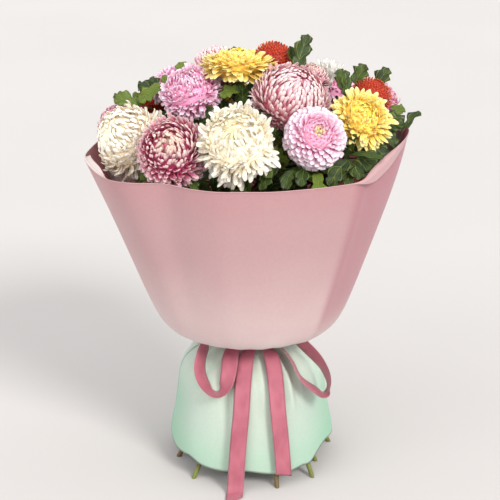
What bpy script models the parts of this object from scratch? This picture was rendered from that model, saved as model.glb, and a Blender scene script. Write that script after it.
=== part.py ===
"""Hand-tied chrysanthemum bouquet that stands on its splayed stem ends.

Twenty stems cross in a spiral at the binding point, so that their cut ends spread into a wide foot and
their blooms into a dome. Two pink sheets make the collar round the blooms, a mint sheet makes the skirt
round the stem ends, and a satin ribbon tied in a bow covers the binding. Metres, +Z up, with the origin
on the table under the middle of the bouquet. The front of the bouquet faces -Y.
"""

import math

import bmesh
import bpy
from mathutils import Matrix, Vector

# ---------------------------------------------------------------- driving dimensions
BINDING_Z = 0.215  # height of the binding point
CONTACT_GAP = 0.0003  # left between pieces that touch
SHEET = 0.001  # thickness of the paper and the ribbon as solids
STEM_RADIUS = 0.0040
CENTRE_STEM_RADIUS = 0.0050
NECK = 0.012  # straight length under each bloom
OUTER_WAIST = 0.0190  # radius of the ring of outer stems at the binding point
INNER_WAIST = 0.0101  # radius of the ring of inner stems there
OUTER_PHASE = 97.5  # degrees, where the first outer stem crosses the binding point
INNER_PHASE = 162
RIBBON_WIDTH = 0.024

# ---------------------------------------------------------------- colours (base, roughness)
WHITE = ((0.93, 0.87, 0.73), 0.6)
YELLOW = ((0.93, 0.62, 0.13), 0.6)
ROSE = ((0.80, 0.38, 0.50), 0.6)
LILAC = ((0.88, 0.50, 0.72), 0.6)
BURGUNDY = ((0.50, 0.07, 0.20), 0.6)
RED = ((0.66, 0.10, 0.03), 0.6)
STEM_GREEN = ((0.20, 0.26, 0.05), 0.55)
LEAF_GREEN = ((0.07, 0.17, 0.03), 0.5)
PINK_PAPER = ((0.80, 0.48, 0.50), 0.7)
MINT_PAPER = ((0.62, 0.80, 0.66), 0.65)
SATIN = ((0.66, 0.19, 0.26), 0.4)
TWINE = ((0.55, 0.42, 0.25), 0.9)

# ---------------------------------------------------------------- blooms and their stems
# name: centre of the bloom, solid radius, height over radius, the way it faces, foot (degrees, radius), colour.
# The order round the ring is the order in which the stems cross at the binding point.
OUTER_BLOOMS = {
    "mauve_side": ((-0.190, 0.050, 0.498), 0.033, 0.62, (-0.70, 0.0, 0.71), (14, 0.124), ROSE),
    "white_side": ((-0.168, -0.050, 0.502), 0.044, 0.62, (-0.55, -0.55, 0.60), (42, 0.110), WHITE),
    "burgundy_front": ((-0.103, -0.128, 0.508), 0.043, 0.66, (-0.13, -0.75, 0.63), (71, 0.107), BURGUNDY),
    "white_front": ((-0.016, -0.146, 0.526), 0.046, 0.62, (-0.16, -0.74, 0.62), (101, 0.110), WHITE),
    "lilac_front": ((0.087, -0.118, 0.525), 0.038, 0.66, (0.17, -0.78, 0.60), (131, 0.109), LILAC),
    "yellow_side": ((0.153, -0.050, 0.532), 0.039, 0.50, (0.35, -0.66, 0.66), (161, 0.110), YELLOW),
    "red_side": ((0.172, 0.020, 0.547), 0.027, 0.80, (0.5, -0.22, 0.84), (191, 0.109), RED),
    "mauve_back": ((0.182, 0.084, 0.520), 0.033, 0.62, (0.66, 0.20, 0.72), (228, 0.123), ROSE),
    "lilac_back": ((0.130, 0.142, 0.508), 0.036, 0.66, (0.5, 0.55, 0.66), (258, 0.099), LILAC),
    "white_back": ((0.053, 0.162, 0.508), 0.042, 0.62, (0.2, 0.75, 0.63), (288, 0.127), WHITE),
    "yellow_back": ((-0.047, 0.162, 0.508), 0.039, 0.50, (-0.22, 0.75, 0.63), (316, 0.127), YELLOW),
    "red_back": ((-0.140, 0.128, 0.512), 0.028, 0.80, (-0.55, 0.5, 0.68), (340, 0.104), RED),
}
INNER_BLOOMS = {
    "lilac_side": ((-0.082, -0.012, 0.559), 0.040, 0.62, (-0.2, -0.42, 0.88), (73, 0.050), LILAC),
    "rose_front": ((0.057, -0.036, 0.556), 0.046, 0.62, (0.36, -0.45, 0.82), (124, 0.050), ROSE),
    "burgundy_inner": ((0.086, 0.046, 0.561), 0.026, 0.66, (0.35, 0.0, 0.93), (176, 0.050), BURGUNDY),
    "white_inner": ((0.114, 0.096, 0.555), 0.022, 1.00, (0.2, 0.0, 0.95), (227, 0.050), WHITE),
    "red_inner": ((0.035, 0.066, 0.589), 0.030, 0.80, (0.22, -0.12, 0.95), (279, 0.058), RED),
    "rose_inner": ((-0.046, 0.090, 0.568), 0.036, 0.62, (-0.15, 0.42, 0.9), (330, 0.050), ROSE),
    "lilac_inner": ((-0.110, 0.064, 0.550), 0.033, 0.62, (-0.5, 0.28, 0.82), (22, 0.050), LILAC),
}
CENTRE_BLOOMS = {
    "yellow_top": ((-0.015, 0.012, 0.590), 0.041, 0.50, (0.04, 0.10, 0.99), (0, 0.0), YELLOW),
}

# ---------------------------------------------------------------- leaves
# name: stem that it grows on, how far up that stem, where its tip is, length and width of its blade.
LEAVES = {
    "leaf_crown": ("rose_front", 0.97, (0.0818, 0.0400, 0.6315), 0.058, 0.034),
    "leaf_left_upper": ("lilac_side", 0.95, (-0.1007, 0.0400, 0.5911), 0.040, 0.034),
    "leaf_shoulder_left": ("red_back", 0.97, (-0.1981, 0.0700, 0.5319), 0.044, 0.034),
    "leaf_right_upper": ("yellow_side", 0.97, (0.1332, 0.0100, 0.5870), 0.040, 0.026),
    "leaf_right_dark": ("red_side", 0.95, (0.1990, 0.0600, 0.5774), 0.040, 0.030),
    "leaf_right_low": ("yellow_side", 0.95, (0.2156, -0.0200, 0.5170), 0.036, 0.030),
    "leaf_front_gap": ("white_front", 0.91, (0.0925, -0.1100, 0.4663), 0.046, 0.030),
    "leaf_back_right": ("lilac_back", 0.95, (0.0950, 0.1600, 0.5250), 0.046, 0.034),
    "leaf_back_left": ("red_back", 0.95, (-0.1050, 0.1500, 0.5400), 0.046, 0.034),
    "leaf_back_top": ("red_inner", 0.97, (0.0100, 0.1200, 0.5900), 0.044, 0.032),
}

LEAF_STALK = 0.0012  # half the width of a leaf's stalk

# ---------------------------------------------------------------- paper profiles, as (radius, height)
# The collar starts at the binding, runs out over the skirt, turns up at its round bottom and flares to its rim.
COLLAR_FLOOR = [(0.0301, 0.205), (0.0301, 0.2225), (0.0340, 0.2275), (0.0480, 0.2285), (0.0700, 0.2240),
                (0.0920, 0.2165), (0.1070, 0.2135)]
COLLAR_WALL = [(0.1190, 0.2165), (0.1310, 0.2285), (0.1420, 0.2480), (0.1560, 0.2800), (0.1780, 0.3370),
               (0.1990, 0.3990), (0.2110, 0.4400), (0.2175, 0.4720)]
BACK_SHEET_INSET = 0.0017  # the back sheet lies inside the front one where they overlap
FRONT_SHEET_ARC = (-207, 27)  # degrees
BACK_SHEET_ARC = (9, 171)
COLLAR_STEP = 9  # degrees between the points of both sheets, so that their facets line up
COLLAR_OVAL = 0.035  # the collar is this much wider sideways, and this much narrower front to back, at its rim
RIM_RISE = 0.026  # the rim climbs this much on the right
FRONT_RISE = 0.006  # and this much at the front

SKIRT_PROFILE = [(0.0400, 0.2580), (0.0330, 0.2450), (0.0273, 0.2350), (0.0273, 0.2030), (0.0300, 0.1980),
                 (0.0420, 0.1920), (0.0620, 0.1830), (0.0840, 0.1700), (0.0985, 0.1560), (0.1065, 0.1380),
                 (0.1105, 0.1100), (0.1150, 0.0750), (0.1205, 0.0400), (0.1225, 0.0200)]
SKIRT_NECK_ROWS = 3  # the rows of the profile that are smooth, round the binding
SKIRT_SEGMENTS = 36
SKIRT_FOLDS = 9
SKIRT_FOLD_DEPTH = 0.0016
HEM_WAVE = 0.004

# ---------------------------------------------------------------- binding and ribbon
TWINE_INNER, TWINE_HALF_HEIGHT, TWINE_STRAND = 0.0236, 0.006, 0.0015
BAND_INNER, BAND_HEIGHT = 0.0310, 0.018
KNOT_CENTRE = Vector((0.012, -0.0378, 0.212))
KNOT_SIZE = (0.024, 0.0110, 0.0190)
# Each ribbon piece: points along its middle, the direction of its width at each, and how much of the full
# width it has there. It is pinched where it leaves the knot.
RIBBON = {
    "ribbon_loop_left": [
        ((-0.0005, -0.0378, 0.2160), (0.0, 0.30, 0.95), 0.40),
        ((-0.0230, -0.0400, 0.2170), (0.25, 0.60, 0.75), 0.80),
        ((-0.0450, -0.0500, 0.2120), (0.45, 0.70, 0.50), 0.95),
        ((-0.0618, -0.0660, 0.2015), (0.58, 0.75, 0.20), 1.0),
        ((-0.0705, -0.0800, 0.1820), (0.60, 0.75, 0.0), 1.0),
        ((-0.0705, -0.0890, 0.1655), (0.60, 0.75, -0.05), 1.0),
        ((-0.0640, -0.0965, 0.1510), (0.50, 0.84, 0.0), 1.0),
        ((-0.0565, -0.1020, 0.1430), (0.20, 0.97, 0.0), 1.0),
        ((-0.0471, -0.1065, 0.1419), (-0.10, 0.98, 0.0), 1.0),
        ((-0.0385, -0.1075, 0.1478), (-0.50, 0.85, 0.0), 1.0),
        ((-0.0328, -0.1045, 0.1597), (-0.80, 0.58, 0.10), 1.0),
        ((-0.0300, -0.0960, 0.1730), (-0.90, 0.42, 0.10), 1.0),
        ((-0.0272, -0.0780, 0.1890), (-0.93, 0.33, 0.0), 1.0),
        ((-0.0200, -0.0560, 0.2000), (-0.85, 0.30, -0.10), 0.7),
        ((-0.0005, -0.0400, 0.2080), (-0.30, 0.60, 0.50), 0.25),
    ],
    "ribbon_loop_right": [
        ((0.0245, -0.0378, 0.2160), (0.0, -0.30, 0.95), 0.40),
        ((0.0430, -0.0385, 0.2140), (0.25, -0.45, 0.80), 0.80),
        ((0.0600, -0.0430, 0.2060), (0.50, -0.58, 0.60), 0.95),
        ((0.0739, -0.0480, 0.1962), (0.65, -0.62, 0.42), 1.0),
        ((0.0939, -0.0600, 0.1809), (0.69, -0.66, 0.28), 1.0),
        ((0.1055, -0.0665, 0.1680), (0.60, -0.78, 0.15), 1.0),
        ((0.1125, -0.0695, 0.1530), (0.45, -0.89, 0.05), 1.0),
        ((0.1148, -0.0720, 0.1385), (0.15, -0.98, 0.05), 1.0),
        ((0.1105, -0.0770, 0.1300), (-0.05, -0.99, 0.0), 1.0),
        ((0.1020, -0.0820, 0.1312), (-0.15, -0.98, 0.0), 1.0),
        ((0.0930, -0.0865, 0.1380), (-0.15, -0.97, 0.05), 1.0),
        ((0.0784, -0.0900, 0.1509), (-0.08, -0.96, 0.20), 1.0),
        ((0.0692, -0.0870, 0.1614), (-0.02, -0.95, 0.28), 1.0),
        ((0.0600, -0.0740, 0.1775), (0.0, -0.94, 0.32), 1.0),
        ((0.0500, -0.0580, 0.1890), (0.0, -0.90, 0.40), 0.85),
        ((0.0380, -0.0460, 0.1990), (0.0, -0.75, 0.60), 0.60),
        ((0.0245, -0.0400, 0.2075), (0.0, -0.60, 0.60), 0.25),
    ],
    "ribbon_tail_left": [
        ((0.0068, -0.0378, 0.2020), (1.0, 0.0, 0.0), 0.42),
        ((0.0050, -0.0500, 0.1965), (1.0, 0.0, 0.0), 0.50),
        ((-0.0040, -0.0720, 0.1885), (1.0, 0.0, 0.0), 0.90),
        ((-0.0080, -0.0930, 0.1745), (1.0, 0.0, 0.0), 1.0),
        ((-0.0105, -0.1110, 0.1520), (1.0, 0.02, 0.02), 1.0),
        ((-0.0125, -0.1185, 0.1180), (1.0, 0.02, 0.04), 1.0),
        ((-0.0160, -0.1235, 0.0800), (1.0, 0.02, 0.05), 1.0),
        ((-0.0190, -0.1285, 0.0400), (1.0, 0.02, 0.04), 1.0),
        ((-0.0205, -0.1330, 0.0130), (1.0, 0.0, 0.02), 1.0),
        ((-0.0215, -0.1410, 0.0028), (1.0, 0.0, 0.0), 1.0),
        ((-0.0225, -0.1560, 0.0009), (1.0, 0.0, 0.0), 1.0),
        ((-0.0240, -0.1910, 0.0009), (1.0, 0.0, 0.0), 1.0),
    ],
    "ribbon_tail_right": [
        ((0.0172, -0.0378, 0.2020), (1.0, 0.0, 0.0), 0.42),
        ((0.0215, -0.0500, 0.1960), (1.0, 0.0, 0.0), 0.55),
        ((0.0300, -0.0720, 0.1880), (1.0, 0.10, 0.0), 0.90),
        ((0.0345, -0.0910, 0.1740), (1.0, 0.20, 0.0), 1.0),
        ((0.0375, -0.1060, 0.1520), (0.97, 0.28, 0.0), 1.0),
        ((0.0400, -0.1145, 0.1180), (0.96, 0.30, 0.0), 1.0),
        ((0.0437, -0.1190, 0.0800), (0.96, 0.32, 0.0), 1.0),
        ((0.0472, -0.1235, 0.0400), (0.96, 0.32, 0.0), 1.0),
        ((0.0482, -0.1250, 0.0220), (0.96, 0.32, 0.0), 1.0),
    ],
}


# ---------------------------------------------------------------- helpers
def clear_scene():
    for obj in list(bpy.data.objects):
        bpy.data.objects.remove(obj, do_unlink=True)


def material(name, finish):
    colour, roughness = finish
    made = bpy.data.materials.new(name)
    made.use_nodes = True
    shader = made.node_tree.nodes["Principled BSDF"]
    shader.inputs["Base Color"].default_value = (*colour, 1.0)
    shader.inputs["Roughness"].default_value = roughness
    shader.inputs["Metallic"].default_value = 0.0
    return made


def add_object(name, data, finish, collection):
    obj = bpy.data.objects.new(name, data)
    data.materials.append(material(name, finish))
    collection.objects.link(obj)
    return obj


def on_circle(degrees, radius, z):
    angle = math.radians(degrees)
    return Vector((radius * math.cos(angle), radius * math.sin(angle), z))


def smooth_path(points, per_span):
    """Points along a Catmull-Rom curve through the given ones, ends included."""
    points = [Vector(p) for p in points]
    padded = [2 * points[0] - points[1], *points, 2 * points[-1] - points[-2]]
    out = []
    for i in range(1, len(padded) - 2):
        a, b, c, d = padded[i - 1 : i + 3]
        for k in range(per_span):
            t = k / per_span
            out.append(0.5 * (2 * b + (c - a) * t + (2 * a - 5 * b + 4 * c - d) * t**2
                              + (3 * b - a - 3 * c + d) * t**3))
    return [*out, points[-1]]


def grid_mesh(name, rows, closed):
    """An open sheet through rows of points; closed joins each row's last point to its first."""
    count = len(rows[0])
    mesh = bpy.data.meshes.new(name)
    faces = []
    for r in range(len(rows) - 1):
        for k in range(count if closed else count - 1):
            n = (k + 1) % count
            faces.append((r * count + k, r * count + n, (r + 1) * count + n, (r + 1) * count + k))
    mesh.from_pydata([p for row in rows for p in row], [], faces)
    mesh.shade_smooth()
    return mesh


def thicken(obj, thickness, offset):
    solidify = obj.modifiers.new("sheet thickness", "SOLIDIFY")
    solidify.thickness = thickness
    solidify.offset = offset
    return obj


def turned(name, profile, steps, finish, collection):
    """A solid of revolution about its own Z from a profile that runs down its outer side."""
    mesh = bpy.data.meshes.new(name)
    edges = [(i, i + 1) for i in range(len(profile) - 1)]
    mesh.from_pydata([(r, 0, z) for r, z in profile], edges, [])
    obj = add_object(name, mesh, finish, collection)
    screw = obj.modifiers.new("turn", "SCREW")
    screw.axis = "Z"
    screw.angle = math.tau
    screw.steps = screw.render_steps = steps
    screw.use_merge_vertices = True
    screw.merge_threshold = 0.00001
    return obj


# ---------------------------------------------------------------- blooms
def bloom_base(centre, radius, height, facing):
    """Where the stem meets the underside of the bloom."""
    return Vector(centre) - Vector(facing).normalized() * radius * height


def make_bloom(name, centre, radius, height, facing, finish, collection):
    """The closed outer shape of one flower head: a dome over a rounded underside and a small flat calyx."""
    calyx = 0.16
    outline = [(0, 1), (0.45, 0.88), (0.80, 0.52), (1.0, 0.05), (0.86, -0.40), (0.45, -0.85), (calyx, -1), (0, -1)]
    profile = [(r * radius, z * height * radius) for r, z in outline]
    obj = turned("bloom_" + name, profile, 10, finish, collection)
    obj.location = centre
    obj.rotation_euler = Vector(facing).to_track_quat("Z", "Y").to_euler()
    return obj


# ---------------------------------------------------------------- stems
def stem_route(foot, waist, base, facing, lead, arrival, samples=7):
    """Straight from the foot through the binding point, then a slow bend into the underside of the bloom.

    lead and arrival say how long it keeps its first and its last direction, as shares of the way."""
    start = waist + (waist - foot) * 0.12
    heading = (waist - foot).normalized()
    neck = base - Vector(facing).normalized() * NECK
    reach = (neck - start).length
    handle_a = start + heading * reach * lead
    handle_b = neck - Vector(facing).normalized() * reach * arrival
    route = [foot - heading * 0.02, waist]
    for k in range(samples + 1):
        t = k / samples
        route.append((1 - t) ** 3 * start + 3 * (1 - t) ** 2 * t * handle_a
                     + 3 * (1 - t) * t**2 * handle_b + t**3 * neck)
    return [*route, base]


def make_stem(name, route, radius, collection):
    """A round tube along the route, cut flat where it stands on the table."""
    curve = bpy.data.curves.new("stem_" + name, "CURVE")
    curve.dimensions = "3D"
    curve.bevel_depth = radius
    curve.bevel_resolution = 2
    curve.use_fill_caps = True
    spline = curve.splines.new("POLY")
    spline.points.add(len(route) - 1)
    for point, place in zip(spline.points, route):
        point.co = (*place, 1)
    guide = bpy.data.objects.new("guide", curve)
    collection.objects.link(guide)
    bpy.context.view_layer.update()
    mesh = bpy.data.meshes.new_from_object(guide.evaluated_get(bpy.context.evaluated_depsgraph_get()))
    bpy.data.objects.remove(guide)
    form = bmesh.new()
    form.from_mesh(mesh)
    bmesh.ops.remove_doubles(form, verts=form.verts, dist=0.00001)
    everything = form.verts[:] + form.edges[:] + form.faces[:]
    bmesh.ops.bisect_plane(form, geom=everything, plane_co=(0, 0, 0), plane_no=(0, 0, 1), clear_inner=True)
    bmesh.ops.holes_fill(form, edges=[e for e in form.edges if e.is_boundary])
    bmesh.ops.recalc_face_normals(form, faces=form.faces)
    form.to_mesh(mesh)
    form.free()
    mesh.materials.clear()
    mesh.shade_smooth()
    mesh.set_sharp_from_angle(angle=math.radians(40))
    return add_object("stem_" + name, mesh, STEM_GREEN, collection)


def plan_stems():
    """name -> (route, radius) for every stem, in their spiral order round the binding point."""
    plan = {}
    rings = (
        (OUTER_BLOOMS, OUTER_PHASE, OUTER_WAIST, STEM_RADIUS, 0.34, 0.46),
        (INNER_BLOOMS, INNER_PHASE, INNER_WAIST, STEM_RADIUS, 0.50, 0.17),
        (CENTRE_BLOOMS, 0, 0.0, CENTRE_STEM_RADIUS, 0.37, 0.39),
    )
    for blooms, phase, waist_radius, radius, lead, arrival in rings:
        for k, (name, (centre, size, height, facing, foot, _)) in enumerate(blooms.items()):
            waist = on_circle(phase + 360 * k / len(blooms), waist_radius, BINDING_Z)
            base = bloom_base(centre, size, height, facing)
            base -= Vector(facing).normalized() * CONTACT_GAP
            plan[name] = (stem_route(on_circle(*foot, 0), waist, base, facing, lead, arrival), radius)
    return plan


# ---------------------------------------------------------------- leaves
def leaf_outline(stalk, blade, width):
    """Half of a lobed leaf, from its stalk to its tip, as (along, across)."""
    shape = [(0.14, 0.30), (0.30, 0.46), (0.42, 0.34), (0.60, 0.50), (0.72, 0.32), (0.88, 0.22)]
    return ([(0, 0.3 * LEAF_STALK), (0.08 * (stalk + blade), LEAF_STALK), (stalk, LEAF_STALK)]
            + [(stalk + along * blade, across * width) for along, across in shape])


def make_leaf(name, base, run, tip, blade, width, collection):
    """A flat lobed blade on a stalk that starts at base. Its face looks up the stem, which runs along run."""
    length = (tip - base).length
    half = leaf_outline(length - blade, blade, width)
    outline = [(x, y) for x, y in half] + [(length, 0)] + [(x, -y) for x, y in reversed(half)]
    curve = bpy.data.curves.new(name, "CURVE")
    curve.dimensions = "2D"
    curve.fill_mode = "BOTH"
    curve.extrude = SHEET / 2
    spline = curve.splines.new("POLY")
    spline.points.add(len(outline) - 1)
    for point, (x, y) in zip(spline.points, outline):
        point.co = (x, y, 0, 1)
    spline.use_cyclic_u = True
    obj = add_object(name, curve, LEAF_GREEN, collection)
    along = (tip - base).normalized()
    normal = (run - run.dot(along) * along).normalized()
    turn = Matrix((along, normal.cross(along), normal)).transposed()
    obj.matrix_world = Matrix.Translation(base) @ turn.to_4x4()
    return obj


def along_route(route, share):
    """The point this share of the way along a stem, and the way the stem runs there."""
    lengths = [(b - a).length for a, b in zip(route, route[1:])]
    left = share * sum(lengths)
    for a, b, length in zip(route, route[1:], lengths):
        if left <= length:
            return a.lerp(b, left / length), (b - a).normalized()
        left -= length
    return route[-1], (route[-1] - route[-2]).normalized()


# ---------------------------------------------------------------- paper
def collar_row(profile_point, share, degrees, inset):
    """One point of the collar: share is 0 at the binding and 1 at the rim."""
    radius, z = profile_point
    angle = math.radians(degrees)
    oval = 1 - COLLAR_OVAL * share * -math.cos(2 * angle)
    spread = (radius - inset) * oval
    rise = RIM_RISE * max(0, math.cos(angle)) ** 6 + FRONT_RISE * max(0, -math.sin(angle)) ** 2
    return Vector((spread * math.cos(angle), spread * math.sin(angle), z + rise * share**3))


def make_collar_sheet(name, arc, inset, collection):
    profile = COLLAR_FLOOR + COLLAR_WALL
    floor = len(COLLAR_FLOOR) - 1
    rows = []
    for i, point in enumerate(profile):
        share = max(0, i - floor) / (len(profile) - 1 - floor)
        # The back sheet lies within the front one in the sleeve and up the wall, and on top of it in between.
        lift = 0 if i in (0, 1) else inset * max(0, 1 - max(0, i - floor) / 2)
        degrees = range(arc[0], arc[1] + 1, COLLAR_STEP)
        rows.append([collar_row(point, share, d, inset) + Vector((0, 0, lift)) for d in degrees])
    return thicken(add_object(name, grid_mesh(name, rows, False), PINK_PAPER, collection), SHEET, 0)


def make_skirt(collection):
    rows = []
    for i, (radius, z) in enumerate(SKIRT_PROFILE):
        share = max(0, i - SKIRT_NECK_ROWS) / (len(SKIRT_PROFILE) - 1 - SKIRT_NECK_ROWS)
        row = []
        for k in range(SKIRT_SEGMENTS):
            angle = math.tau * k / SKIRT_SEGMENTS
            folded = radius - SKIRT_FOLD_DEPTH * share * (1 + math.cos(SKIRT_FOLDS * angle)) / 2
            wave = HEM_WAVE * share**4 * math.sin(4 * angle)
            row.append((folded * math.cos(angle), folded * math.sin(angle), z + wave))
        rows.append(row)
    return thicken(add_object("mint_skirt", grid_mesh("mint_skirt", rows, True), MINT_PAPER, collection), SHEET, 0)


# ---------------------------------------------------------------- binding and ribbon
def make_binding(collection):
    """Three turns of twine side by side, as one turned ring."""
    outer = TWINE_INNER + 2 * TWINE_STRAND
    turns = 3
    pitch = 2 * TWINE_HALF_HEIGHT / turns
    profile = [(TWINE_INNER, TWINE_HALF_HEIGHT)]
    for k in range(turns):
        top = TWINE_HALF_HEIGHT - k * pitch
        profile += [(outer - 0.0008, top - 0.0003), (outer, top - pitch / 2), (outer - 0.0008, top - pitch + 0.0003)]
    profile += [(TWINE_INNER, -TWINE_HALF_HEIGHT), (TWINE_INNER, TWINE_HALF_HEIGHT)]
    obj = turned("binding_twine", profile, 24, TWINE, collection)
    obj.location.z = BINDING_Z


def make_band(collection):
    half = BAND_HEIGHT / 2
    outer = BAND_INNER + SHEET
    profile = [(BAND_INNER, half), (outer, half), (outer, -half), (BAND_INNER, -half), (BAND_INNER, half)]
    obj = turned("ribbon_band", profile, 28, SATIN, collection)
    obj.location.z = BINDING_Z - 0.002


def make_knot(collection):
    mesh = bpy.data.meshes.new("ribbon_knot")
    form = bmesh.new()
    bmesh.ops.create_cube(form, size=1)
    bmesh.ops.scale(form, vec=KNOT_SIZE, verts=form.verts)
    form.to_mesh(mesh)
    form.free()
    obj = add_object("ribbon_knot", mesh, SATIN, collection)
    obj.location = KNOT_CENTRE
    bevel = obj.modifiers.new("round", "BEVEL")
    bevel.width = 0.0035
    bevel.segments = 2


def make_ribbon(name, stations, collection):
    """A flat strip through its stations."""
    middle = smooth_path([place for place, _, _ in stations], 2)
    across = smooth_path([Vector(side).normalized() * share for _, side, share in stations], 2)
    rows = [[m - a * RIBBON_WIDTH / 2, m, m + a * RIBBON_WIDTH / 2] for m, a in zip(middle, across)]
    return thicken(add_object(name, grid_mesh(name, rows, False), SATIN, collection), SHEET, 0)


# ---------------------------------------------------------------- the bouquet
def main():
    clear_scene()
    bouquet = bpy.data.collections.new("chrysanthemum_bouquet")
    bpy.context.scene.collection.children.link(bouquet)
    stems = plan_stems()
    for name, (centre, radius, height, facing, _, finish) in {**OUTER_BLOOMS, **INNER_BLOOMS, **CENTRE_BLOOMS}.items():
        make_bloom(name, centre, radius, height, facing, finish, bouquet)
        make_stem(name, *stems[name], bouquet)
    for name, (stem, share, tip, blade, width) in LEAVES.items():
        route, radius = stems[stem]
        place, run = along_route(route, share)
        away = Vector(tip) - place
        aside = (away - away.dot(run) * run).normalized()
        base = place + aside * (radius + 2 * CONTACT_GAP)
        make_leaf(name, base, run, Vector(tip), blade, width, bouquet)
    make_collar_sheet("wrap_front_sheet", FRONT_SHEET_ARC, 0, bouquet)
    make_collar_sheet("wrap_back_sheet", BACK_SHEET_ARC, BACK_SHEET_INSET, bouquet)
    make_skirt(bouquet)
    make_binding(bouquet)
    make_band(bouquet)
    make_knot(bouquet)
    for name, stations in RIBBON.items():
        make_ribbon(name, stations, bouquet)


main()
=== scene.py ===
"""The look of the hand-tied chrysanthemum bouquet: petals, leaves, paper, ribbon, floor and light.

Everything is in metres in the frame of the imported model, with its front facing -Y. A piece takes its place
from the solid that it replaces. Blades (petals, leaves, paper and ribbon) are grids with a front and a back
that meet along their rim. Materials read these attributes: along (0 at the base, 1 at the tip), across
(-1 to 1), age (0 at the middle of a bloom, 1 at its outside), seed (one random number a blade), inside (1 on
the upper face, 0 on the lower one), metres (the way along a ribbon or the twine), and layer and pale (see
paper_material).
"""

import math

import bpy
import numpy as np
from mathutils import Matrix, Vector


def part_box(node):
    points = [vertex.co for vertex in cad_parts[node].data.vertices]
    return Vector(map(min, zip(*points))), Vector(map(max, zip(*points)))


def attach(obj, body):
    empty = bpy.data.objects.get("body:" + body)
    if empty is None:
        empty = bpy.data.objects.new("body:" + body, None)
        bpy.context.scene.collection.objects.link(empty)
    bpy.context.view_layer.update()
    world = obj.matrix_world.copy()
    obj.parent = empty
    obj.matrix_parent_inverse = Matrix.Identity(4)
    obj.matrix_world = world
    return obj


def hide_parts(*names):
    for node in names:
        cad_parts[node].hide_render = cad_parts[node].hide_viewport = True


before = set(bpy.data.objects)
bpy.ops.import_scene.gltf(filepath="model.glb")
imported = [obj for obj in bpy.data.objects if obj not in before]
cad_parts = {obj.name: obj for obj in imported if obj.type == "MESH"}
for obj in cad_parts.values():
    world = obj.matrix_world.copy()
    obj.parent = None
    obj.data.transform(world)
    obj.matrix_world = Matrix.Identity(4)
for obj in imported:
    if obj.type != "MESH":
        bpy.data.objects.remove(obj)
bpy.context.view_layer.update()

GOLDEN_ANGLE = math.pi * (3 - math.sqrt(5))
BINDING_HEIGHT = (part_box("ribbon_band")[0][2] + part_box("ribbon_band")[1][2]) / 2
# Random draws come in series. These are the first seeds of each.
BLOOM_SEED, SOLID_LEAF_SEED, LOOSE_LEAF_SEED, STEM_SEED, STEM_LEAF_SEED = 10, 100, 300, 500, 900


# ================================================================ small helpers
def srgb(code):
    """A colour from its hexadecimal display values, as linear light."""
    values = np.array([int(code[k:k + 2], 16) for k in (0, 2, 4)]) / 255
    linear = np.where(values <= 0.04045, values / 12.92, ((values + 0.055) / 1.055) ** 2.4)
    return (*(float(v) for v in linear), 1.0)


def unit(vectors):
    vectors = np.asarray(vectors, float)
    return vectors / np.linalg.norm(vectors, axis=-1, keepdims=True)


def stacked(*coordinates):
    """Points from their coordinates, each of which is spread over all the points."""
    return np.stack(np.broadcast_arrays(*coordinates), axis=-1)


def around_axis(radius, angle, height):
    """Points at this distance from the Z axis, angle round it and height."""
    return stacked(radius * np.cos(angle), radius * np.sin(angle), height)


def smoothstep(value, low, high):
    share = np.clip((np.asarray(value, float) - low) / (high - low), 0, 1)
    return share * share * (3 - 2 * share)


def way_along(path):
    """The way along a path to each of its points."""
    return np.concatenate([[0], np.cumsum(np.linalg.norm(np.diff(path, axis=0), axis=1))])


def smooth_curve(points, count):
    """count points, evenly spaced, on a Catmull-Rom curve through the given ones."""
    points = np.asarray(points, float)
    padded = np.vstack([2 * points[0] - points[1], points, 2 * points[-1] - points[-2]])
    t = np.linspace(0, 1, 24, endpoint=False)[:, None]
    spans = [0.5 * (2 * b + (c - a) * t + (2 * a - 5 * b + 4 * c - d) * t**2 + (3 * b - a - 3 * c + d) * t**3)
             for a, b, c, d in zip(padded, padded[1:], padded[2:], padded[3:])]
    dense = np.vstack([*spans, points[-1:]])
    way = way_along(dense)
    stations = np.linspace(0, way[-1], count)
    return np.stack([np.interp(stations, way, column) for column in dense.T], axis=1)


def corners(mesh):
    points = np.empty(len(mesh.vertices) * 3)
    mesh.vertices.foreach_get("co", points)
    return points.reshape(-1, 3)


def node_points(node):
    """The separate corners of a CAD node."""
    return np.unique(corners(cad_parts[node].data).round(6), axis=0)


def seen_along(points, centre, axis):
    """How far points lie from the centre along an axis, and aside from it."""
    height = (points - centre) @ axis
    return height, np.linalg.norm(points - centre - height[:, None] * axis, axis=1)


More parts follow.
